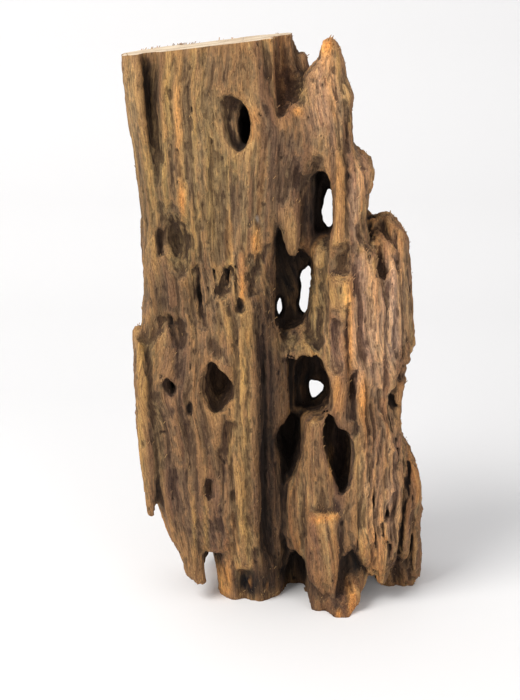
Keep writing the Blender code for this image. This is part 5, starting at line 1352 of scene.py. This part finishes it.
def fibreTree():
    # small bent splinters that stand on the wood, thick where the attribute "broken" is high
    tree = bpy.data.node_groups.new("wood splinters", "GeometryNodeTree")
    tree.interface.new_socket("Geometry", in_out="INPUT", socket_type="NodeSocketGeometry")
    kinds = {int: "NodeSocketInt", float: "NodeSocketFloat", tuple: "NodeSocketVector"}
    for name, value in fibreSettings.items():
        tree.interface.new_socket(name, in_out="INPUT", socket_type=kinds[type(value)]).default_value = value
    tree.interface.new_socket("Material", in_out="INPUT", socket_type="NodeSocketMaterial")
    tree.interface.new_socket("Geometry", in_out="OUTPUT", socket_type="NodeSocketGeometry")
    given = tree.nodes.new("NodeGroupInput").outputs

    broken = addNode(tree, "GeometryNodeInputNamedAttribute", {"Name": "broken"},
                     data_type="FLOAT").outputs[0]
    density = sums(tree, "MULTIPLY", broken, given["thickest"])
    spots = addNode(tree, "GeometryNodeDistributePointsOnFaces",
                    {"Mesh": given["Geometry"], "Density": density, "Seed": given["seed"]})

    path = addNode(tree, "GeometryNodeCurveQuadraticBezier",
                   {"Resolution": given["steps"], "Start": given["root"], "Middle": given["middle"],
                    "End": given["tip"]}).outputs[0]
    along = addNode(tree, "GeometryNodeSplineParameter").outputs[0]
    narrowing = sums(tree, "MULTIPLY", given["taper"], -1.0)
    taper = sums(tree, "MULTIPLY_ADD", along, narrowing, 1.0)
    path = addNode(tree, "GeometryNodeSetCurveRadius", {"Curve": path, "Radius": taper}).outputs[0]
    ring = addNode(tree, "GeometryNodeCurvePrimitiveCircle",
                   {"Resolution": given["sides"], "Radius": given["radius"]}).outputs[0]
    splinter = addNode(tree, "GeometryNodeCurveToMesh",
                       {"Curve": path, "Profile Curve": ring, "Fill Caps": True})

    low, high = sums(tree, "MULTIPLY", given["spread"], -1.0), given["spread"]
    lowest = addNode(tree, "ShaderNodeCombineXYZ", {0: low, 1: low, 2: given["lowest"]}).outputs[0]
    highest = addNode(tree, "ShaderNodeCombineXYZ", {0: high, 1: high, 2: given["highest"]}).outputs[0]
    scatter = addNode(tree, "FunctionNodeRandomValue", {0: lowest, 1: highest, "Seed": given["seed"]},
                      data_type="FLOAT_VECTOR").outputs[0]
    off = addNode(tree, "ShaderNodeVectorMath", {0: spots.outputs["Normal"], "Scale": given["stand"]},
                  operation="SCALE").outputs[0]
    heading = addNode(tree, "ShaderNodeVectorMath", {0: scatter, 1: off}, operation="ADD").outputs[0]
    turn = addNode(tree, "FunctionNodeAlignRotationToVector", {"Vector": heading}, axis="Z").outputs[0]
    size = addNode(tree, "FunctionNodeRandomValue", {2: given["smallest"], 3: given["largest"],
                                                     "Seed": given["sizeSeed"]},
                   data_type="FLOAT").outputs[1]
    placed = addNode(tree, "GeometryNodeInstanceOnPoints",
                     {"Points": spots.outputs["Points"], "Instance": splinter.outputs[0], "Rotation": turn,
                      "Scale": size}).outputs[0]
    real = addNode(tree, "GeometryNodeRealizeInstances", {"Geometry": placed}).outputs[0]
    finished = addNode(tree, "GeometryNodeSetMaterial",
                       {"Geometry": real, "Material": given["Material"]}).outputs[0]
    addNode(tree, "NodeGroupOutput", {0: finished})
    return tree


def splinterWood():
    # the wood's pigment with its painted shade, paler and patched with fresh tan
    wood = bpy.data.materials.new("splintered wood")
    wood.use_nodes = True
    tree = wood.node_tree
    shader = tree.nodes["Principled BSDF"]
    pigmentAndShade = addNode(tree, "ShaderNodeAttribute", attribute_name="pigmentAndShade").outputs["Color"]
    grain = addNode(tree, "ShaderNodeAttribute", attribute_name="grain").outputs["Vector"]
    patchy = streaks(tree, grain, 1.2, 3.0, 2, 5.5)
    fine = streaks(tree, grain, 0.3, 0.8, 2, 17.5)
    colour = mixed(tree, 1.0, pigmentAndShade, (1.5, 1.45, 1.35, 1), "MULTIPLY")
    colour = mixed(tree, ranged(tree, patchy, 0.45, 0.62, 0, 0.75), colour, (0.50, 0.30, 0.11, 1))
    colour = mixed(tree, ranged(tree, fine, 0.5, 0.3, 0, 0.7), colour, (0.45, 0.4, 0.4, 1), "MULTIPLY")
    bump = addNode(tree, "ShaderNodeBump", {"Height": fine, "Distance": 0.0002, "Strength": 0.6})
    tree.links.new(colour, shader.inputs["Base Color"])
    tree.links.new(ranged(tree, fine, 0.3, 0.7, 0.9, 0.72), shader.inputs["Roughness"])
    tree.links.new(bump.outputs[0], shader.inputs["Normal"])
    return wood


def growFibres():
    # splinters over the weathered faces alone
    fibres = bpy.data.objects.new("woodSplinters", body.data.copy())
    bpy.context.scene.collection.objects.link(fibres)
    shape = bmesh.new()
    shape.from_mesh(fibres.data)
    sawn = [face for face in shape.faces if face.material_index == 1]
    bmesh.ops.delete(shape, geom=sawn, context="FACES")
    shape.to_mesh(fibres.data)
    shape.free()
    step = fibres.modifiers.new("splinters", "NODES")
    step.node_group = fibreTree()
    wood = splinterWood()
    for socket in step.node_group.interface.items_tree:
        if socket.in_out == "INPUT" and socket.name in fibreSettings:
            step[socket.identifier] = fibreSettings[socket.name]
        if socket.name == "Material":
            step[socket.identifier] = wood
    settle(fibres)
    placePoints(fibres.data, fitBox(meshPoints(fibres.data)))
    fibres.data.shade_smooth()
    return fibres


fibres = growFibres()
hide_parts("dragon_wood")
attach(body, "root")
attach(fibres, "root")
print("splinters grown, faces", len(fibres.data.polygons))

stageSettings = {
    "paper": (0.875, 0.875, 0.885), "worldLight": 0.56,
    "floorHalfWidth": 1.4,
    "floorProfile": [(-1.2, 0.0), (0.30, 0.0), (0.45, 0.02), (0.56, 0.09), (0.62, 0.22), (0.63, 1.2)],
    "lightAim": (0, 0, 0.12),
    "lights": {                                 # (place, size, power, colour)
        "top light": ((-0.55, -0.45, 0.85), (0.55, 0.5), 9, (1.0, 0.98, 0.95)),
        "front fill": ((0.5, -0.9, 0.5), (0.6, 0.6), 2.0, (1.0, 0.98, 0.97)),
    },
    "cameraAt": (-7.45, -539.63, 235.0), "cameraPitch": 13.7,
    "sensor": 36, "lensShare": 1350 / 700,      # focal length over the longer side of the picture
}


def makeFloor():
    # sheet of paper that turns up behind the wood
    mesh = bpy.data.meshes.new("paper floor")
    shape = bmesh.new()
    profile, half = stageSettings["floorProfile"], stageSettings["floorHalfWidth"]
    rows = [[shape.verts.new((x, y, z)) for y, z in profile] for x in (-half, half)]
    for n in range(len(profile) - 1):
        shape.faces.new((rows[0][n], rows[1][n], rows[1][n + 1], rows[0][n + 1]))
    shape.to_mesh(mesh)
    shape.free()
    mesh.shade_smooth()
    floor = bpy.data.objects.new("paperFloor", mesh)
    bpy.context.scene.collection.objects.link(floor)
    mesh.materials.append(plainPaper("pale paper", stageSettings["paper"]))


def makeLight(name, at, size, power, colour):
    light = bpy.data.lights.new(name, "AREA")
    light.shape = "RECTANGLE"
    light.size, light.size_y = size
    light.energy = power
    light.color = colour
    lamp = bpy.data.objects.new(name, light)
    lamp.location = at
    aim = Vector(stageSettings["lightAim"]) - Vector(at)
    lamp.rotation_euler = aim.to_track_quat("-Z", "Y").to_euler()
    bpy.context.scene.collection.objects.link(lamp)


makeFloor()
world = bpy.data.worlds.new("studio")
bpy.context.scene.world = world
world.use_nodes = True
world.node_tree.nodes["Background"].inputs["Color"].default_value = (1.0, 1.0, 1.0, 1)
world.node_tree.nodes["Background"].inputs["Strength"].default_value = stageSettings["worldLight"]
for name, light in stageSettings["lights"].items():
    makeLight(name, *light)

view = bpy.data.cameras.new("camera")
view.sensor_width = stageSettings["sensor"]
view.lens = stageSettings["lensShare"] * view.sensor_width
view.clip_start = 0.01
camera = bpy.data.objects.new("camera", view)
camera.location = [value * mm for value in stageSettings["cameraAt"]]
camera.rotation_euler = (math.radians(90 - stageSettings["cameraPitch"]), 0, 0)
bpy.context.scene.collection.objects.link(camera)
bpy.context.scene.camera = camera
bpy.context.scene.view_settings.view_transform = "Standard"
